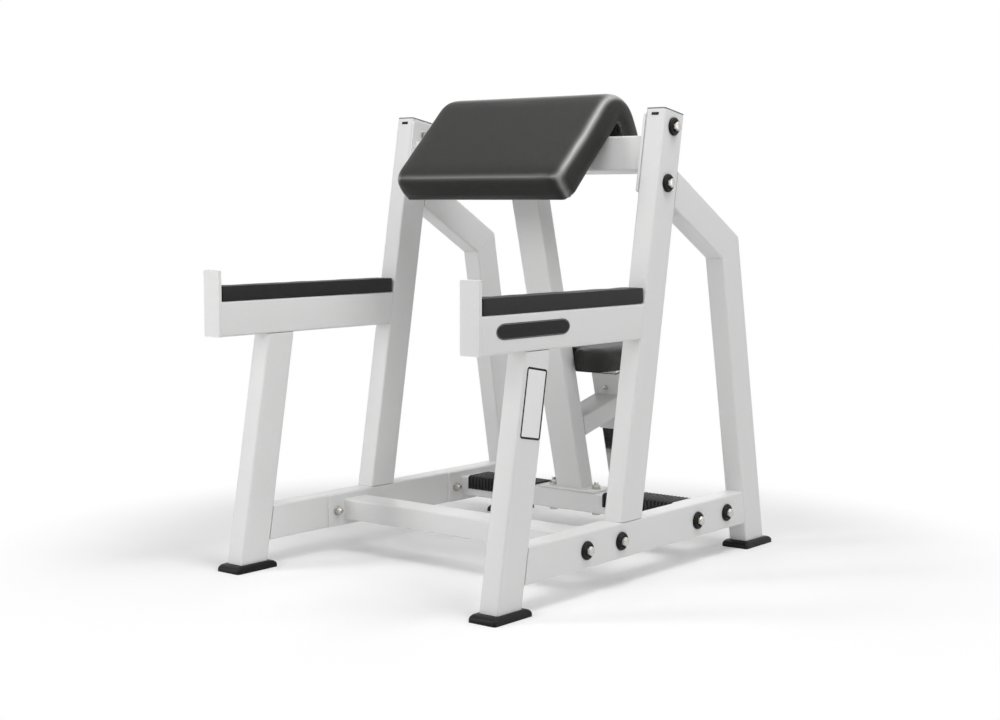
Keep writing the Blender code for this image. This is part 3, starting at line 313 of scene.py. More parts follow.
def joined_corners():
    """Geometry nodes that join split corners and shade all but the sharp edges smooth."""
    group = bpy.data.node_groups.new("joined_corners", "GeometryNodeTree")
    for way in ("INPUT", "OUTPUT"):
        group.interface.new_socket("Geometry", in_out=way, socket_type="NodeSocketGeometry")
    steps = [group.nodes.new(kind) for kind in (
        "NodeGroupInput", "GeometryNodeRemoveAttribute", "GeometryNodeMergeByDistance",
        "GeometryNodeSetShadeSmooth", "GeometryNodeSetShadeSmooth", "NodeGroupOutput")]
    forget, merge, sharp = steps[1], steps[2], steps[4]
    for before, after in zip(steps, steps[1:]):
        group.links.new(before.outputs[0], after.inputs[0])
    forget.inputs["Name"].default_value = "custom_normal"
    merge.inputs["Distance"].default_value = CORNER_JOIN
    angle = group.nodes.new("GeometryNodeInputMeshEdgeAngle")
    steep = group.nodes.new("FunctionNodeCompare")
    steep.operation = "GREATER_THAN"
    group.links.new(angle.outputs["Unsigned Angle"], steep.inputs[0])
    steep.inputs[1].default_value = SHARP_ANGLE
    sharp.domain = "EDGE"
    group.links.new(steep.outputs[0], sharp.inputs["Selection"])
    sharp.inputs["Shade Smooth"].default_value = False
    return group


JOINED = joined_corners()


def break_edges(piece):
    """Join, bevel and shade a solid of the frame without touching its mesh."""
    piece.modifiers.new("joined_corners", "NODES").node_group = JOINED
    bevel = piece.modifiers.new("edge_break", "BEVEL")
    bevel.width = EDGE_BREAK
    bevel.segments = 2
    bevel.limit_method = "ANGLE"
    bevel.angle_limit = SHARP_ANGLE
    shade = piece.modifiers.new("flat_walls", "WEIGHTED_NORMAL")
    shade.keep_sharp = True


for subpart in frame["record"]["subparts"]:
    solid = nodes[subpart["node"]]
    for holder in solid.material_slots:
        holder.material = FINISHES[subpart["material_slot"]].material
    break_edges(solid)
print("dressed", len(nodes), "solids of the frame")

# %% [markdown]
# New pieces all end the same way: the bmesh becomes a mesh at the origin, its doubles merged and its
# normals outward, and the object takes the finish of its slot, or the one it is given, and its body. A piece
# that stands for a solid of the frame hides it.

# %% Finish a new piece
MERGE = 0.000001


def finish_piece(bm, name, slot, body, *stands_for, place=None, smooth=45.0, material=None):
    """Turn a bmesh into a piece that rides on a body and may stand for solids of the frame."""
    if place is not None:
        bmesh.ops.transform(bm, matrix=place, verts=bm.verts)
    bmesh.ops.remove_doubles(bm, verts=bm.verts, dist=MERGE)
    bmesh.ops.recalc_face_normals(bm, faces=bm.faces)
    mesh = bpy.data.meshes.new(name)
    bm.to_mesh(mesh)
    bm.free()
    mesh.shade_smooth()
    mesh.set_sharp_from_angle(angle=math.radians(smooth))
    mesh.materials.append(material or FINISHES[slot].material)
    piece = bpy.data.objects.new(name, mesh)
    bpy.context.scene.collection.objects.link(piece)
    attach(piece, body)
    if stands_for:
        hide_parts(*stands_for)
    return piece


def facing(origin, outward, up=(0.0, 0.0, 1.0)):
    """A matrix whose Z points outward from origin and whose Y is as near up as it can be."""
    z_axis = Vector(outward).normalized()
    x_axis = Vector(up).cross(z_axis).normalized()
    y_axis = z_axis.cross(x_axis)
    return Matrix.Translation(origin) @ Matrix((x_axis, y_axis, z_axis)).transposed().to_4x4()


# %% [markdown]
# Turned parts, such as washers and knobs, are drawn as half a section and spun about the axis. The section
# is a row of vertices from one end of the axis to the other, or a closed ring where the part has a hole.

# %% Turn a section about its axis
def turn(bm, section, steps=32, ring=False):
    """Spin a section of (radius, height) points a full turn about Z."""
    points = [bm.verts.new((radius, 0.0, height)) for radius, height in section]
    pairs = list(zip(points, points[1:]))
    if ring:
        pairs.append((points[-1], points[0]))
    edges = [bm.edges.new(pair) for pair in pairs]
    bmesh.ops.spin(bm, geom=points + edges, cent=(0.0, 0.0, 0.0), axis=(0.0, 0.0, 1.0), angle=math.tau,
                   steps=steps, use_merge=True)
    bmesh.ops.remove_doubles(bm, verts=bm.verts, dist=MERGE)


# %% [markdown]
# A hexagon head is a six-sided disc pulled up to its height. Its top edge is bevelled so that the corners
# are broken, as on a real forged head. A nut has the same break on both its faces. The thread past the nut
# is a row of turned ridges, a millimetre and three quarters apart, which is the pitch of a
# twelve-millimetre bolt.

# %% Hexagon and thread
HEX_FLATS = 0.018
HEX_RADIUS = HEX_FLATS / math.sqrt(3)
HEX_BREAK = 0.0009
THREAD_PITCH = 0.00175
THREAD_ROOT = 0.86
THREAD_POINT = 0.8
BOLT_RADIUS = 0.006
LEVEL = 0.00001


def add_hexagon(bm, low, high, chamfer_low=False):
    """A six-sided prism between two heights, its top corners broken."""
    made = bmesh.ops.create_circle(bm, cap_ends=True, segments=6, radius=HEX_RADIUS)
    bmesh.ops.translate(bm, verts=made["verts"], vec=(0.0, 0.0, low))
    base = made["verts"][0].link_faces[0]
    pulled = bmesh.ops.extrude_face_region(bm, geom=[base], use_keep_orig=True)["geom"]
    tops = [item for item in pulled if isinstance(item, bmesh.types.BMVert)]
    bmesh.ops.translate(bm, verts=tops, vec=(0.0, 0.0, high - low))
    rims = [edge for edge in {edge for vert in tops for edge in vert.link_edges}
            if all(abs(vert.co.z - high) < LEVEL for vert in edge.verts)]
    if chamfer_low:
        rims += base.edges[:]
    bmesh.ops.bevel(bm, geom=rims, offset=HEX_BREAK, segments=2, profile=0.5, affect="EDGES", material=-1,
                    offset_type="OFFSET")


def thread_section(low, high):
    """Half a section of threaded rod, with its ridges from low up to high and a closed end at each."""
    section = [(0.0, low)]
    ridges = round((high - low) / THREAD_PITCH)
    pitch = (high - low) / ridges
    for ridge in range(ridges):
        foot = low + ridge * pitch
        section += [(BOLT_RADIUS * THREAD_ROOT, foot), (BOLT_RADIUS, foot + pitch / 2)]
    return section + [(BOLT_RADIUS * THREAD_POINT, high), (0.0, high)]


# %% [markdown]
# Twelve bolts hold the cross members and the beam between the side frames. Outside, each head sits in the
# hollow of a large domed washer of black plastic; inside, a steel washer and a nut sit on the flange. The
# origin of each is on the wall under the head, with Z pointing out.

# %% Cup washers and bolts
SIDES = {"left": 1, "right": -1}
SIDE_WALL = 0.400
GAP = 0.0003
WASHER_BORE = 0.0063
WASHER_FLAT = 0.0116
WASHER_RIM = 0.0120
NUT_TOP, NUT_END = -0.0022, -0.0105
NUT_WASHER = ((WASHER_BORE, 0.0), (WASHER_FLAT, 0.0), (WASHER_RIM, -0.0005), (0.0118, NUT_TOP),
              (WASHER_BORE, NUT_TOP))
SHANK_RADIUS = 0.0059
SHANK_END = -0.008
SHANK_IN_HEAD = 0.001
THREAD_END, THREAD_START = -0.017, -0.007
CUP_BORE = 0.0066
CUP_FLOOR = 0.0036
CUP_SECTION = ((CUP_BORE, GAP), (0.0201, GAP), (0.0207, 0.0009), (0.0207, 0.0021), (0.0202, 0.0042),
               (0.0188, 0.0060), (0.0170, 0.0070), (0.0152, 0.0072), (0.0136, 0.0067), (0.0124, 0.0054),
               (0.0120, CUP_FLOOR), (CUP_BORE, CUP_FLOOR))


def add_bolt(name, place, grip, seat, head_top):
    """A bolt whose head sits at seat above the outer wall, and whose nut is on the wall a grip below it."""
    bm = bmesh.new()
    add_hexagon(bm, seat, head_top)
    wall = -grip - GAP
    turn(bm, [(radius, wall + height) for radius, height in NUT_WASHER], 24, ring=True)
    add_hexagon(bm, wall + NUT_END, wall + NUT_TOP, chamfer_low=True)
    turn(bm, thread_section(wall + THREAD_END, wall + THREAD_START), 16)
    low = wall + SHANK_END
    high = seat + SHANK_IN_HEAD
    turn(bm, ((0.0, low), (SHANK_RADIUS, low), (SHANK_RADIUS, high), (0.0, high)), 16)
    return finish_piece(bm, f"{name}_steel", "zinc", "frame", name, place=place, smooth=30)


for side, sign in SIDES.items():
    for number in range(1, 7):
        name = f"frame_bolt_{side}_{number}"
        low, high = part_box(name)
        middle = (low + high) / 2
        place = facing((sign * SIDE_WALL, middle.y, middle.z), (sign, 0.0, 0.0))
        cup = bmesh.new()
        turn(cup, CUP_SECTION, 40, ring=True)
        finish_piece(cup, f"{name}_cup", "black_plastic", "frame", name, place=place)
        add_bolt(name, place, grip=0.0563, seat=0.0037, head_top=0.0150)
print("cup washers and bolts: 12 sets")

# %% [markdown]
# The centre post stands on the rear cross member on two plain bolts. They come up from below, a washer
# under each head, and their nuts stand on the post's foot plate.

# %% Foot plate bolts
MEMBER_UNDERSIDE = 0.0775
HEAD_WASHER = ((WASHER_BORE, GAP), (WASHER_FLAT, GAP), (WASHER_RIM, 0.0008), (WASHER_FLAT, 0.0025),
               (WASHER_BORE, 0.0025))
for side in SIDES:
    name = f"post_bolt_{side}"
    low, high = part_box(name)
    middle = (low + high) / 2
    place = facing((middle.x, middle.y, MEMBER_UNDERSIDE), (0.0, 0.0, -1.0), (0.0, 1.0, 0.0))
    bolt = add_bolt(name, place, grip=0.0553, seat=0.0026, head_top=0.0101)
    washer = bmesh.new()
    turn(washer, HEAD_WASHER, ring=True)
    finish_piece(washer, f"{name}_washer", "zinc", "frame", name, place=place)
print("foot plate bolts:", [round(value, 4) for value in bolt.dimensions])

# %% [markdown]
# A barbell is laid down on the two rest arms, so each carries a thick strip of rubber. It is cut from an
# extruded bar: straight, with its long edges slightly rounded, and never quite flat on top. A box gets
# rounded edges from a bevel, its long edges are cut into short lengths, and its top is moved up and down by
# a fraction of a millimetre.

# %% Bar-rest rubbers
STRIP_ROUND = 0.0022
STRIP_CUTS = 44
LONG_EDGE = 0.4
FACES_UP = 0.5
WAVE = 0.05
WAVE_HEIGHT = 0.0009


def wavy(bm):
    """Move the points that look up by smooth noise."""
    bm.normal_update()
    for vert in bm.verts:
        if vert.normal.z > FACES_UP:
            vert.co.z += WAVE_HEIGHT * (noise.noise(vert.co / WAVE) - 0.5)


for side in SIDES:
    low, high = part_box(f"rest_rubber_{side}")
    strip = bmesh.new()
    bmesh.ops.create_cube(strip, size=1.0)
    bmesh.ops.scale(strip, vec=high - low, verts=strip.verts)
    bmesh.ops.translate(strip, vec=(low + high) / 2, verts=strip.verts)
    bmesh.ops.bevel(strip, geom=strip.edges[:], offset=STRIP_ROUND, segments=3, profile=0.5, affect="EDGES",
                    material=-1, offset_type="OFFSET")
    along = [edge for edge in strip.edges if abs(edge.verts[0].co.y - edge.verts[1].co.y) > LONG_EDGE]
    bmesh.ops.subdivide_edges(strip, edges=along, cuts=STRIP_CUTS, use_grid_fill=True)
    wavy(strip)
    piece = finish_piece(strip, f"bar_rest_rubber_{side}", "rubber", "frame", f"rest_rubber_{side}")
print("bar-rest rubber, mm:", [round(1000 * value, 1) for value in piece.dimensions])

# %% [markdown]
# The user's feet rest on two rubber treads wrapped over the rear cross member. Their ribs run from front to
# back, over the rounded edges and down both walls. The section is one flat face, pushed along X rib by rib.
# At each rib's side the outer line steps out or in, and the inner line stays on the tube. The rubber is
# rougher and a little greyer than the rests', as soles scuff it.

# %% Ribbed foot treads
RIB_PITCH = 0.0105
RIB_HEIGHT = 0.0032
RIB_STEPS = ((0.22, 0.0), (0.14, RIB_HEIGHT), (0.28, 0.0), (0.14, -RIB_HEIGHT), (0.22, 0.0))
MEMBER_MIDDLE = 0.300
TREAD_SECTION = ((0.0417, 0.0975), (0.0417, 0.1235), (0.0409, 0.1270), (0.0380, 0.1292),
                 (-0.0380, 0.1292), (-0.0409, 0.1270), (-0.0417, 0.1235), (-0.0417, 0.0975),
                 (-0.0403, 0.0975), (-0.0403, 0.1248), (-0.0373, 0.1278), (0.0373, 0.1278),
                 (0.0403, 0.1248), (0.0403, 0.0975))
OUTER_WALL, OUTER_TOP = 0.0406, 0.1283
WALL_STARTS, TOP_STARTS = 0.0385, 0.1262

tread_rubber = Finish("worn_tread_rubber", Metallic=0.0, Specular_IOR_Level=0.35)
scuffs = tread_rubber.clouds(0.004, 3.0, (1.0, 0.4, 1.0))
worn = tread_rubber.blend(scuffs.between(0.4, 0.75), (0.010, 0.010, 0.0102), (0.032, 0.032, 0.032))
tread_rubber.set("Base_Color", worn)
tread_rubber.set("Roughness", 0.42 + 0.12 * scuffs)
tread_rubber.relief(tread_rubber.clouds(0.0015, 2.0), 0.0002)


def push_on(bm, face, step_x, rise):
    """Pull the face on along X, its outer line moved out by rise, and return the new end face."""
    within = len(face.edges[0].link_faces) > 1
    pulled = bmesh.ops.extrude_face_region(bm, geom=[face])["geom"]
    if within:
        bmesh.ops.delete(bm, geom=[face], context="FACES_ONLY")
    for vert in (item for item in pulled if isinstance(item, bmesh.types.BMVert)):
        across = vert.co.y - MEMBER_MIDDLE
        outer = abs(across) > OUTER_WALL or vert.co.z > OUTER_TOP
        if outer and abs(across) > WALL_STARTS:
            vert.co.y += rise if across > 0 else -rise
        if outer and vert.co.z > TOP_STARTS:
            vert.co.z += rise
        vert.co.x += step_x
    return next(item for item in pulled if isinstance(item, bmesh.types.BMFace))


for side in SIDES:
    low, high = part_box(f"foot_pad_{side}")
    tread = bmesh.new()
    face = tread.faces.new([tread.verts.new((low.x, MEMBER_MIDDLE + y, z)) for y, z in TREAD_SECTION])
    ribs = round((high.x - low.x) / RIB_PITCH)
    pitch = (high.x - low.x) / ribs
    for run, rise in RIB_STEPS * ribs:
        face = push_on(tread, face, run * pitch, rise)
    piece = finish_piece(tread, f"foot_tread_{side}", "rubber", "frame", f"foot_pad_{side}", smooth=35,
                         material=tread_rubber.material)
print("foot tread:", ribs, "ribs, mm:", [round(1000 * value, 1) for value in piece.dimensions])

# %% [markdown]
# A pull pin locks the seat at a height. Its knob is turned plastic, waisted where the fingers pull, with
# flutes round its rim, on a steel pin that runs through the barrel. The flutes are cut by drawing every
# third column of the spun skin in towards the axis.

# %% Pull pin
KNOB_COLUMNS = 36
FLUTE_EVERY = 3
FLUTED_FROM = 0.0155
FLUTE_DRAW = 0.95
PIN_SECTION = ((0.0, 0.0353), (0.0042, 0.0353), (0.0050, 0.0363), (0.0050, 0.0800), (0.0, 0.0800))
KNOB_SECTION = ((0.0, 0.0757), (0.0096, 0.0757), (0.0102, 0.0764), (0.0100, 0.0790), (0.0112, 0.0835),
                (0.0142, 0.0880), (0.0164, 0.0910), (0.0170, 0.0932), (0.0170, 0.0990), (0.0160, 0.1015),
                (0.0128, 0.1032), (0.0, 0.1036))
low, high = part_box("pull_pin")
pin_place = facing((0.0, (low.y + high.y) / 2, (low.z + high.z) / 2), (1.0, 0.0, 0.0))
pin = bmesh.new()
turn(pin, PIN_SECTION, 24)
finish_piece(pin, "pull_pin_steel", "zinc", "pin", "pull_pin", place=pin_place)
knob = bmesh.new()
turn(knob, KNOB_SECTION, KNOB_COLUMNS)
for vert in knob.verts:
    column = round(math.atan2(vert.co.y, vert.co.x) / math.tau * KNOB_COLUMNS)
    if column % FLUTE_EVERY == 0 and math.hypot(vert.co.x, vert.co.y) > FLUTED_FROM:
        vert.co.x *= FLUTE_DRAW
        vert.co.y *= FLUTE_DRAW
piece = finish_piece(knob, "pull_pin_knob", "black_plastic", "pin", "pull_pin", place=pin_place)
print("pull pin knob, mm:", [round(1000 * value, 1) for value in piece.dimensions])

# %% [markdown]
# A small screw in the sleeve's front wall holds the guide bush. It has a domed head with a round socket, on
# a flat washer. The socket is part of the turned section, which runs back down inside the dome.

# %% Sleeve screw
SLEEVE_FRONT = Vector((0.0, 0.42561, 0.37255))
SLEEVE_OUT = Vector((0.0, -0.968137, -0.250419))
SCREW_RADIUS = 0.0030
SCREW_SEAT = 0.0014
SCREW_WASHER = ((SCREW_RADIUS, GAP), (0.0065, GAP), (0.0065, SCREW_SEAT), (SCREW_RADIUS, SCREW_SEAT))
SCREW_SECTION = ((0.0, -0.0045), (SCREW_RADIUS, -0.0045), (SCREW_RADIUS, SCREW_SEAT), (0.0058, SCREW_SEAT),
                 (0.0060, 0.0036), (0.0053, 0.0053), (0.0038, 0.0064), (0.0024, 0.0066), (0.0022, 0.0036),
                 (0.0, 0.0036))
screw_place = facing(SLEEVE_FRONT, SLEEVE_OUT)
screw = bmesh.new()
turn(screw, SCREW_WASHER, ring=True)
turn(screw, SCREW_SECTION, 24)
finish_piece(screw, "sleeve_screw_steel", "zinc", "frame", "sleeve_screw", place=screw_place)
print("sleeve screw at", [round(value, 4) for value in SLEEVE_FRONT])

# %% [markdown]
# Just below each cap the upright's front wall has a short slot, closed by a black insert with a thin rim.
# The rim is a cube scaled to a flat plate. Its back is inset to the slot's size and drawn into the slot,
# and a small live bevel breaks the edges.

# %% Slot inserts
RIM_SIZE = (0.0190, 0.0062, 0.0007)
RIM_LIFT = 0.0005
RIM_WIDTH = 0.0023
RIM_BREAK = 0.0003
SLOT_REACH = 0.0022
FRAME_MIDDLE = 0.375
UPRIGHT_UP = Vector((0.0, 0.16849, 0.98570))
UPRIGHT_FRONT = Vector((0.0, -0.98570, 0.16849))
SLOT_MIDDLE = Vector((0.0, 0.07639, 1.04327))
for side, sign in SIDES.items():
    insert = bmesh.new()
    bmesh.ops.create_cube(insert, size=1.0)
    bmesh.ops.scale(insert, vec=RIM_SIZE, verts=insert.verts)
    bmesh.ops.translate(insert, vec=(0.0, 0.0, RIM_LIFT), verts=insert.verts)
    insert.normal_update()
    back = min(insert.faces, key=lambda face: face.normal.z)
    bmesh.ops.inset_region(insert, faces=[back], thickness=RIM_WIDTH)
    pushed = bmesh.ops.extrude_face_region(insert, geom=[back])["geom"]
    deep = [item for item in pushed if isinstance(item, bmesh.types.BMVert)]
    bmesh.ops.translate(insert, vec=(0.0, 0.0, -SLOT_REACH), verts=deep)
    slot_place = facing(SLOT_MIDDLE + Vector((sign * FRAME_MIDDLE, 0.0, 0.0)), UPRIGHT_FRONT, UPRIGHT_UP)
    piece = finish_piece(insert, f"slot_insert_{side}", "black_plastic", "frame", place=slot_place)
    edge = piece.modifiers.new("edge_break", "BEVEL")
    edge.width = RIM_BREAK
    edge.segments = 2
print("slot insert, mm:", [round(1000 * value, 1) for value in piece.dimensions])

# %% [markdown]
# The near side frame carries two blank plates: a long one with round ends on the rest arm, and a tall one
# on the front leg. Each is a rectangle whose corners are rounded with a vertex bevel, pulled up to its
# thickness. A line is inset into the face and takes a second finish.

# %% Blank plates
PLATE_THICKNESS = 0.0005
PLATE_WALL = SIDE_WALL + 0.0001
LEG_LEAN = math.radians(10)
label_white = Finish("label_white", Base_Color=(0.90, 0.90, 0.90, 1.0), Metallic=0.0)
label_white.set("Roughness", 0.3 + 0.08 * label_white.clouds(0.01))
keyline = Finish("plate_keyline", Base_Color=(0.10, 0.10, 0.098, 1.0), Metallic=0.0)
keyline.set("Roughness", 0.35 + 0.08 * keyline.clouds(0.01))


def blank_plate(name, place, width, height, radius, draw_out, border, line, body_finish, line_finish):
    """A thin plate with rounded corners, its ends drawn out in length, and a line let into its face."""
    bm = bmesh.new()
    made = bmesh.ops.create_grid(bm, x_segments=1, y_segments=1, size=0.5)
    bmesh.ops.scale(bm, vec=(width, height, 1.0), verts=made["verts"])
    bmesh.ops.bevel(bm, geom=bm.verts[:], offset=radius, segments=10, profile=0.5, affect="VERTICES",
                    material=-1, offset_type="OFFSET")
    for vert in bm.verts:
        inward = width / 2 - abs(vert.co.x)
        if inward < radius + LEVEL:
            vert.co.x -= math.copysign(inward * (draw_out - 1), vert.co.x)
    pulled = bmesh.ops.extrude_face_region(bm, geom=bm.faces[:], use_keep_orig=True)["geom"]
    top = next(item for item in pulled if isinstance(item, bmesh.types.BMFace))
    bmesh.ops.translate(bm, vec=(0.0, 0.0, PLATE_THICKNESS), verts=top.verts[:])
    bmesh.ops.inset_region(bm, faces=[top], thickness=border)
    ring = bmesh.ops.inset_region(bm, faces=[top], thickness=line)["faces"]
    for face in ring:
        face.material_index = 1
    piece = finish_piece(bm, name, "black_plastic", "frame", place=place, smooth=30,
                         material=body_finish.material)
    piece.data.materials.append(line_finish.material)
    return piece


arm_plate = facing((PLATE_WALL, -0.3969, 0.5888), (1.0, 0.0, 0.0))
blank_plate("blank_arm_plate", arm_plate, width=0.2436, height=0.0330, radius=0.0164, draw_out=1.6,
            border=0.0008, line=0.0018, body_finish=plastic, line_finish=keyline)
leg_up = Vector((0.0, math.sin(LEG_LEAN), math.cos(LEG_LEAN)))
leg_plate = facing((PLATE_WALL, -0.3977, 0.4364), (1.0, 0.0, 0.0), leg_up)
piece = blank_plate("blank_leg_plate", leg_plate, width=0.0680, height=0.1475, radius=0.0070, draw_out=1.0,
                    border=0.0004, line=0.0045, body_finish=label_white, line_finish=plastic)
print("leg plate, mm:", [round(1000 * value, 1) for value in piece.dimensions])

# %% [markdown]
# The padding is a block of firm foam on a board, with the cover stretched over it and stapled under the
# board. It is flat only where it rests on the board. The top is crowned, and the sides swell between the
# corners. The shape starts as the frame's own solid, remade of even small faces and a little under size.
# The first step is to find the points that the staples hold: those straight behind a padded face, and a
# narrow hem beside them.

# %% The stapled underside
HEM = 0.006
BEHIND = math.cos(math.radians(12))
ROUNDED_OVER = math.cos(math.radians(60))


def faces_back(solid, place, normal, outward):
    """Whether a place on the solid lies straight behind one of the padded faces."""
    for way in outward:
        if -normal.dot(way) > BEHIND:
            beyond = solid.ray_cast(place + way * HEM, way)[1]
            if beyond is not None and beyond.dot(way) > ROUNDED_OVER:
                return True
    return False


def stapled_points(mesh, solid, outward):
    """Set the underside and the hem beside it back on the solid, and return their indices."""
    held = set()
    hits = [solid.find_nearest(vert.co) for vert in mesh.vertices]
    under = KDTree(len(hits))
    for vert, (nearest, normal, _, _) in zip(mesh.vertices, hits):
        if faces_back(solid, nearest, normal, outward):
            held.add(vert.index)
            under.insert(nearest, vert.index)
    under.balance()
    for vert, (nearest, _, _, _) in zip(mesh.vertices, hits):
        if vert.index in held or under.find(nearest)[2] < HEM:
            held.add(vert.index)
            vert.co = nearest
    return held


# %% [markdown]
# The rest of the cover is swelled as cloth under pressure, for twenty frames. Its result is written back to
# the mesh, with every move cut to a cap, so the pad stays in the room that it has and needs no live
# simulation.

# %% Swell the cover
SWELL_FRAMES = 20


def evaluated_mesh(piece):
    """A mesh of the piece as its modifiers leave it."""
    bpy.context.view_layer.update()
    return bpy.data.meshes.new_from_object(piece.evaluated_get(bpy.context.evaluated_depsgraph_get()))


def swell(piece, held, cap):
    """Blow the piece up as cloth, but for its held points, and let no point move further than cap."""
    start = [vert.co.copy() for vert in piece.data.vertices]
    staples = piece.vertex_groups.new(name="staples")
    staples.add(sorted(held), 1.0, "ADD")
    cloth = piece.modifiers.new("swell", "CLOTH")
    cloth.settings.use_pressure = True
    cloth.settings.uniform_pressure_force = 4.0
    cloth.settings.effector_weights.gravity = 0.0
    cloth.settings.quality = 6
    cloth.settings.tension_stiffness = 25.0
    cloth.settings.bending_stiffness = 3.0
    cloth.settings.vertex_group_mass = "staples"
    cloth.point_cache.frame_start = 1
    cloth.point_cache.frame_end = SWELL_FRAMES
    for step in range(1, SWELL_FRAMES + 1):
        bpy.context.scene.frame_set(step)
    swelled = evaluated_mesh(piece)
    piece.modifiers.clear()
    piece.vertex_groups.clear()
    for vert, moved in zip(piece.data.vertices, swelled.vertices):
        shift = moved.co - start[vert.index]
        vert.co = start[vert.index] + shift * min(1.0, cap / max(shift.length, MERGE))
    bpy.context.scene.frame_set(1)


# %% [markdown]
# Foam draws the corners of a cover round, and smoothing evens out what the cloth leaves. Smoothing also
# pulls a shape in, so the loose points are let out again afterwards, by the same distance all over and less
# beside the staples. A last subdivision rounds the pad off.

# %% Make a pad from its solid
SHRINK = 0.0006
CORNER = 0.026
EASE = 0.020


def solid_copy(node):
    """A closed bmesh of a solid of the frame."""
    bm = bmesh.new()
    bm.from_mesh(nodes[node].data)
    bmesh.ops.remove_doubles(bm, verts=bm.verts, dist=MERGE)
    bmesh.ops.recalc_face_normals(bm, faces=bm.faces)
    return bm


def round_corners(verts, ends):
    """Round the outline, seen from above each slab, where its side walls meet its end."""
    side = max(abs(vert.co.x) for vert in verts)
    for end in ends:
        reach = max(vert.co.dot(end) for vert in verts)
        for vert in verts:
            past_side = abs(vert.co.x) - (side - CORNER)
            past_end = vert.co.dot(end) - (reach - CORNER)
            drawn = 1 - CORNER / max(CORNER, math.hypot(past_side, past_end))
            if past_side > 0 and past_end > 0:
                vert.co -= end * past_end * drawn
                vert.co.x -= math.copysign(past_side * drawn, vert.co.x)


def let_out(verts, held, distance):
    """Move the loose points out along their normals, less and less towards the held ones."""
    staples = KDTree(len(held))
    for vert in verts:
        if vert.index in held:
            staples.insert(vert.co, vert.index)
    staples.balance()
    ways = [vert.normal * distance * min(1.0, staples.find(vert.co)[2] / EASE) for vert in verts]
    for vert, way in zip(verts, ways):
        vert.co += way


def swell_pad(bm, name, body, stands_for, outward, cell, cap, rounds, ends=(), drawn_in=0.0):
    """A cloth-swelled cover made from a closed bmesh; outward are the directions of its padded faces."""
    solid = BVHTree.FromBMesh(bm)
    piece = finish_piece(bm, name, "upholstery", body, *stands_for)
    remesh = piece.modifiers.new("even_faces", "REMESH")
    remesh.mode = "VOXEL"
    remesh.voxel_size = cell
    piece.data = evaluated_mesh(piece)
    piece.modifiers.clear()
    full = [vert.co.copy() for vert in piece.data.vertices]
    normals = [vert.normal.copy() for vert in piece.data.vertices]
    held = stapled_points(piece.data, solid, outward)
    for vert in piece.data.vertices:
        if vert.index not in held:
            vert.co -= normals[vert.index] * SHRINK
    swell(piece, held, cap)
    round_corners(piece.data.vertices, ends)
    smooth = bmesh.new()
    smooth.from_mesh(piece.data)
    loose = [vert for vert in smooth.verts if vert.index not in held]
    for _ in range(rounds):
        bmesh.ops.smooth_vert(smooth, verts=loose, factor=0.5, use_axis_x=True, use_axis_y=True,
                              use_axis_z=True)
    smooth.to_mesh(piece.data)
    smooth.free()
    let_out(piece.data.vertices, held, drawn_in)
    piece.data.shade_smooth()
    rounding = piece.modifiers.new("rounding", "SUBSURF")
    rounding.levels = rounding.render_levels = 1
    moves = [(vert.co - full[vert.index]).length for vert in piece.data.vertices]
    print(name, len(full), "points,", len(held), "held, furthest move mm", round(1000 * max(moves), 2))
    return piece


# %% [markdown]
# Where the cover turns over an edge it is stretched. Each point keeps that as a value from 0 to 1: the
# further its normal is from every flat face of the pad, the higher the value. The upholstery reads it for its
# gloss and for a painted highlight along the edges.

# %% Mark the stretched cover and its painted highlight
STRETCH_STARTS = 0.95
STRETCH_SPAN = 0.2


def mark_stretch_and_painted_highlight(piece, flats):
    """Store on each point how far its normal is from all the flat faces; the upholstery turns it into gloss
    and a painted highlight.
    """
    marks = piece.data.attributes.new("stretch", "FLOAT", "POINT").data
    for vert, mark in zip(piece.data.vertices, marks):
        level = max(vert.normal.dot(flat) for flat in flats)
        mark.value = min(1.0, max(0.0, (STRETCH_STARTS - level) / STRETCH_SPAN))
    print(piece.name, "stretched points:", sum(mark.value > 0.5 for mark in marks))


# %% [markdown]
# The arm pad is an inverted V that the upper arms lie over: a long slab towards the front and a short steep
# one towards the user. Its underside is held where the board and the angle strips carry it. The directions
# of its flat faces are worked out from the two slopes, and tell where the cover turns over an edge.

# %% Arm pad
FRONT_SLOPE = math.radians(44.7)
REAR_SLOPE = math.radians(64.5)
FRONT_OUT = Vector((0.0, -math.sin(FRONT_SLOPE), math.cos(FRONT_SLOPE)))
REAR_OUT = Vector((0.0, math.sin(REAR_SLOPE), math.cos(REAR_SLOPE)))
FRONT_END = Vector((0.0, -math.cos(FRONT_SLOPE), -math.sin(FRONT_SLOPE)))
REAR_END = Vector((0.0, math.cos(REAR_SLOPE), -math.sin(REAR_SLOPE)))
SIDEWAYS = Vector((1.0, 0.0, 0.0))
arm_pad = swell_pad(solid_copy("arm_pad"), "arm_pad_cover", "frame", ("arm_pad",), (FRONT_OUT, REAR_OUT),
                    cell=0.0058, cap=0.0030, rounds=30, ends=(FRONT_END, REAR_END), drawn_in=0.0064)
mark_stretch_and_painted_highlight(arm_pad, (FRONT_OUT, REAR_OUT, FRONT_END, REAR_END, SIDEWAYS, -SIDEWAYS, -FRONT_OUT, -REAR_OUT))

# %% [markdown]
# The seat is a smaller cushion with a notch in its front edge for the post and a wide curve at the back.
# Its cover is drawn down over the edge of the board and stapled underneath, so no bare board shows from the
# side. The copy of the cushion's solid is made longer at the bottom, down to the board's underside, and
# swelled as one. The middle of the underside is then given back to the board.

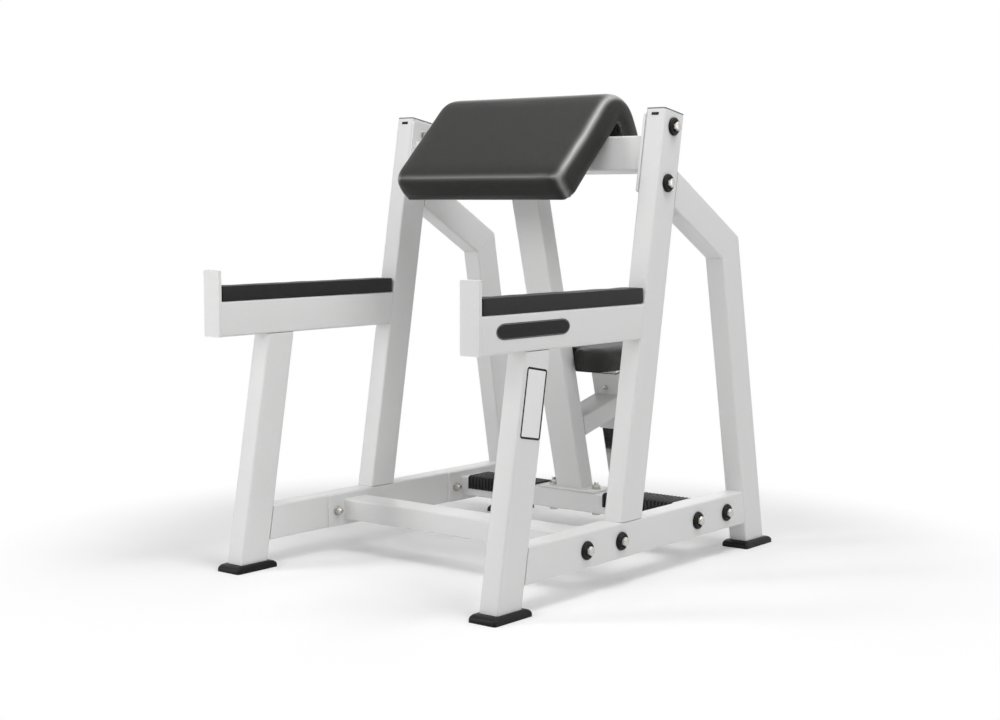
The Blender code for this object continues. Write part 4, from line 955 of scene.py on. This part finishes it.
# %% Seat cushion
UPWARD = Vector((0.0, 0.0, 1.0))
SEAT_HEM = 0.018
UNDERSIDE = 0.0002
WALL_NORMAL, UNDER_NORMAL = -0.8, -0.9
cushion = solid_copy("seat_cushion")
floor_level = min(vert.co.z for vert in cushion.verts)
for vert in cushion.verts:
    if vert.co.z < floor_level + UNDERSIDE:
        vert.co.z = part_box("seat_board")[0].z
seat = swell_pad(cushion, "seat_cushion_cover", "seat", ("seat_cushion", "seat_board"), (UPWARD,),
                 cell=0.004, cap=0.0020, rounds=4)
seat.data.materials.append(board.material)
walls = [vert.co for vert in seat.data.vertices if vert.normal.z > WALL_NORMAL]
rim = KDTree(len(walls))
for number, place in enumerate(walls):
    rim.insert(place, number)
rim.balance()
for face in seat.data.polygons:
    if face.normal.z < UNDER_NORMAL and rim.find(face.center)[2] > SEAT_HEM:
        face.material_index = 1
print("seat cushion, mm:", [round(1000 * value, 1) for value in seat.dimensions])

# %% [markdown]
# The stage is a pale floor that fades into a white surround. Near the bench the floor is a matt white that
# takes its shadows, lifted a little for the eye. Further off it turns to a white that only the camera and
# mirrors see, so it throws no extra light on the frame. The same holds for the world: white to the camera,
# softer as a source of light.

# %% Floor and surround
def seen_rays(tree):
    """1 for rays from the camera, a mirror or a glass, and 0 for soft light."""
    path = tree.nodes.new("ShaderNodeLightPath")
    camera_ray, glossy, through = (Signal(tree, path.outputs[name]) for name in
                                   ("Is Camera Ray", "Is Glossy Ray", "Is Transmission Ray"))
    return camera_ray.math("MAXIMUM", camera_ray, glossy.math("MAXIMUM", glossy, through))


FLOOR_RADIUS = 9.0
FLOOR_FADE = (0.82, 1.35)
FLOOR_LIFT = 0.09
floor_bm = bmesh.new()
bmesh.ops.create_circle(floor_bm, cap_ends=True, segments=96, radius=FLOOR_RADIUS)
floor_mesh = bpy.data.meshes.new("floor")
floor_bm.to_mesh(floor_mesh)
floor_bm.free()
floor = bpy.data.objects.new("floor", floor_mesh)
bpy.context.scene.collection.objects.link(floor)
floor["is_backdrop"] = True

matt = Finish("pale_floor", Metallic=0.0, Specular_IOR_Level=0.0, Roughness=1.0,
              Base_Color=(0.93, 0.93, 0.93, 1.0))
span = matt.node("ShaderNodeVectorMath", {"operation": "LENGTH"}, output="Value", Vector=matt.place)
seen = seen_rays(matt.tree)
fade = span.between(*FLOOR_FADE) * seen
lift = matt.node("ShaderNodeEmission", Strength=FLOOR_LIFT * seen)
lifted = matt.node("ShaderNodeAddShader")
white = matt.node("ShaderNodeEmission")
mix = matt.node("ShaderNodeMixShader", Fac=fade)
for signal, socket in ((Signal(matt.tree, matt.shader.outputs[0]), lifted.socket.node.inputs[0]),
                       (lift, lifted.socket.node.inputs[1]), (lifted, mix.socket.node.inputs[1]),
                       (white, mix.socket.node.inputs[2]),
                       (mix, matt.tree.nodes["Material Output"].inputs["Surface"])):
    feed(matt.tree, socket, signal)
floor.data.materials.append(matt.material)
print("floor", FLOOR_RADIUS, "m, white from", FLOOR_FADE[1], "m")

# %% [markdown]
# The light is a studio's: a faint even surround and soft boxes as broad as the bench. Most of it comes from
# above, from the right and from the front, so the tops are the brightest and the places inside the bench
# stay darker. The tall strip at the front left draws the bright line along the pad's lower edge, and the
# box high on the right the one along its side. Each row below gives a lamp's place, its level at the bench,
# its width and height, and which way its height runs. With levels set that way, a colour renders about as
# it is written.

# %% World and lamps
SURROUND = 0.09
world = bpy.data.worlds.new("surround")
world.use_nodes = True
bpy.context.scene.world = world
glow = world.node_tree.nodes["Background"]
glow.inputs["Color"].default_value = (1.0, 1.0, 1.0, 1.0)
shown = seen_rays(world.node_tree)
feed(world.node_tree, glow.inputs["Strength"], SURROUND + (1.0 - SURROUND) * shown)

AIM = Vector((0.0, 0.0, 0.6))
LAMPS = {"left_strip": ((-1.70, -2.24, 1.60), 0.34, (0.7, 3.0), (0.0, 0.0, 1.0)),
         "front": ((0.60, -2.70, 2.00), 0.18, (1.6, 1.1), (0.0, 0.0, 1.0)),
         "right_front": ((2.38, -1.11, 2.44), 0.13, (1.3, 1.1), (0.0, 0.0, 1.0)),
         "right_high": ((1.50, 0.0, 3.42), 0.35, (1.3, 1.3), (0.0, 1.0, 0.0)),
         "right_rear": ((2.87, 1.34, 1.05), 0.08, (1.2, 0.9), (0.0, 0.0, 1.0)),
         "rear_high": ((0.75, 1.30, 3.42), 0.09, (1.3, 1.3), (0.0, 1.0, 0.0)),
         "overhead": ((0.10, 0.05, 3.4), 0.40, (2.6, 2.6), (0.0, 1.0, 0.0)),
         "back": ((-1.60, 2.60, 1.20), 0.07, (2.0, 1.5), (0.0, 0.0, 1.0))}
for name, (spot, level, size, up) in LAMPS.items():
    away = Vector(spot) - AIM
    softbox = bpy.data.lights.new(name, "AREA")
    softbox.shape = "RECTANGLE"
    softbox.size, softbox.size_y = size
    softbox.energy = level * math.pi ** 2 * away.length_squared
    lamp = bpy.data.objects.new(name, softbox)
    lamp.matrix_world = facing(spot, away, up)
    lamp.visible_camera = False
    bpy.context.scene.collection.objects.link(lamp)
print("lamps:", sorted(LAMPS))

# %% [markdown]
# Last, the dressed model's box is printed.

# %% Size of the dressed model
low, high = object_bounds()
print("visual box, mm:", [round(1000 * side, 1) for side in high - low])
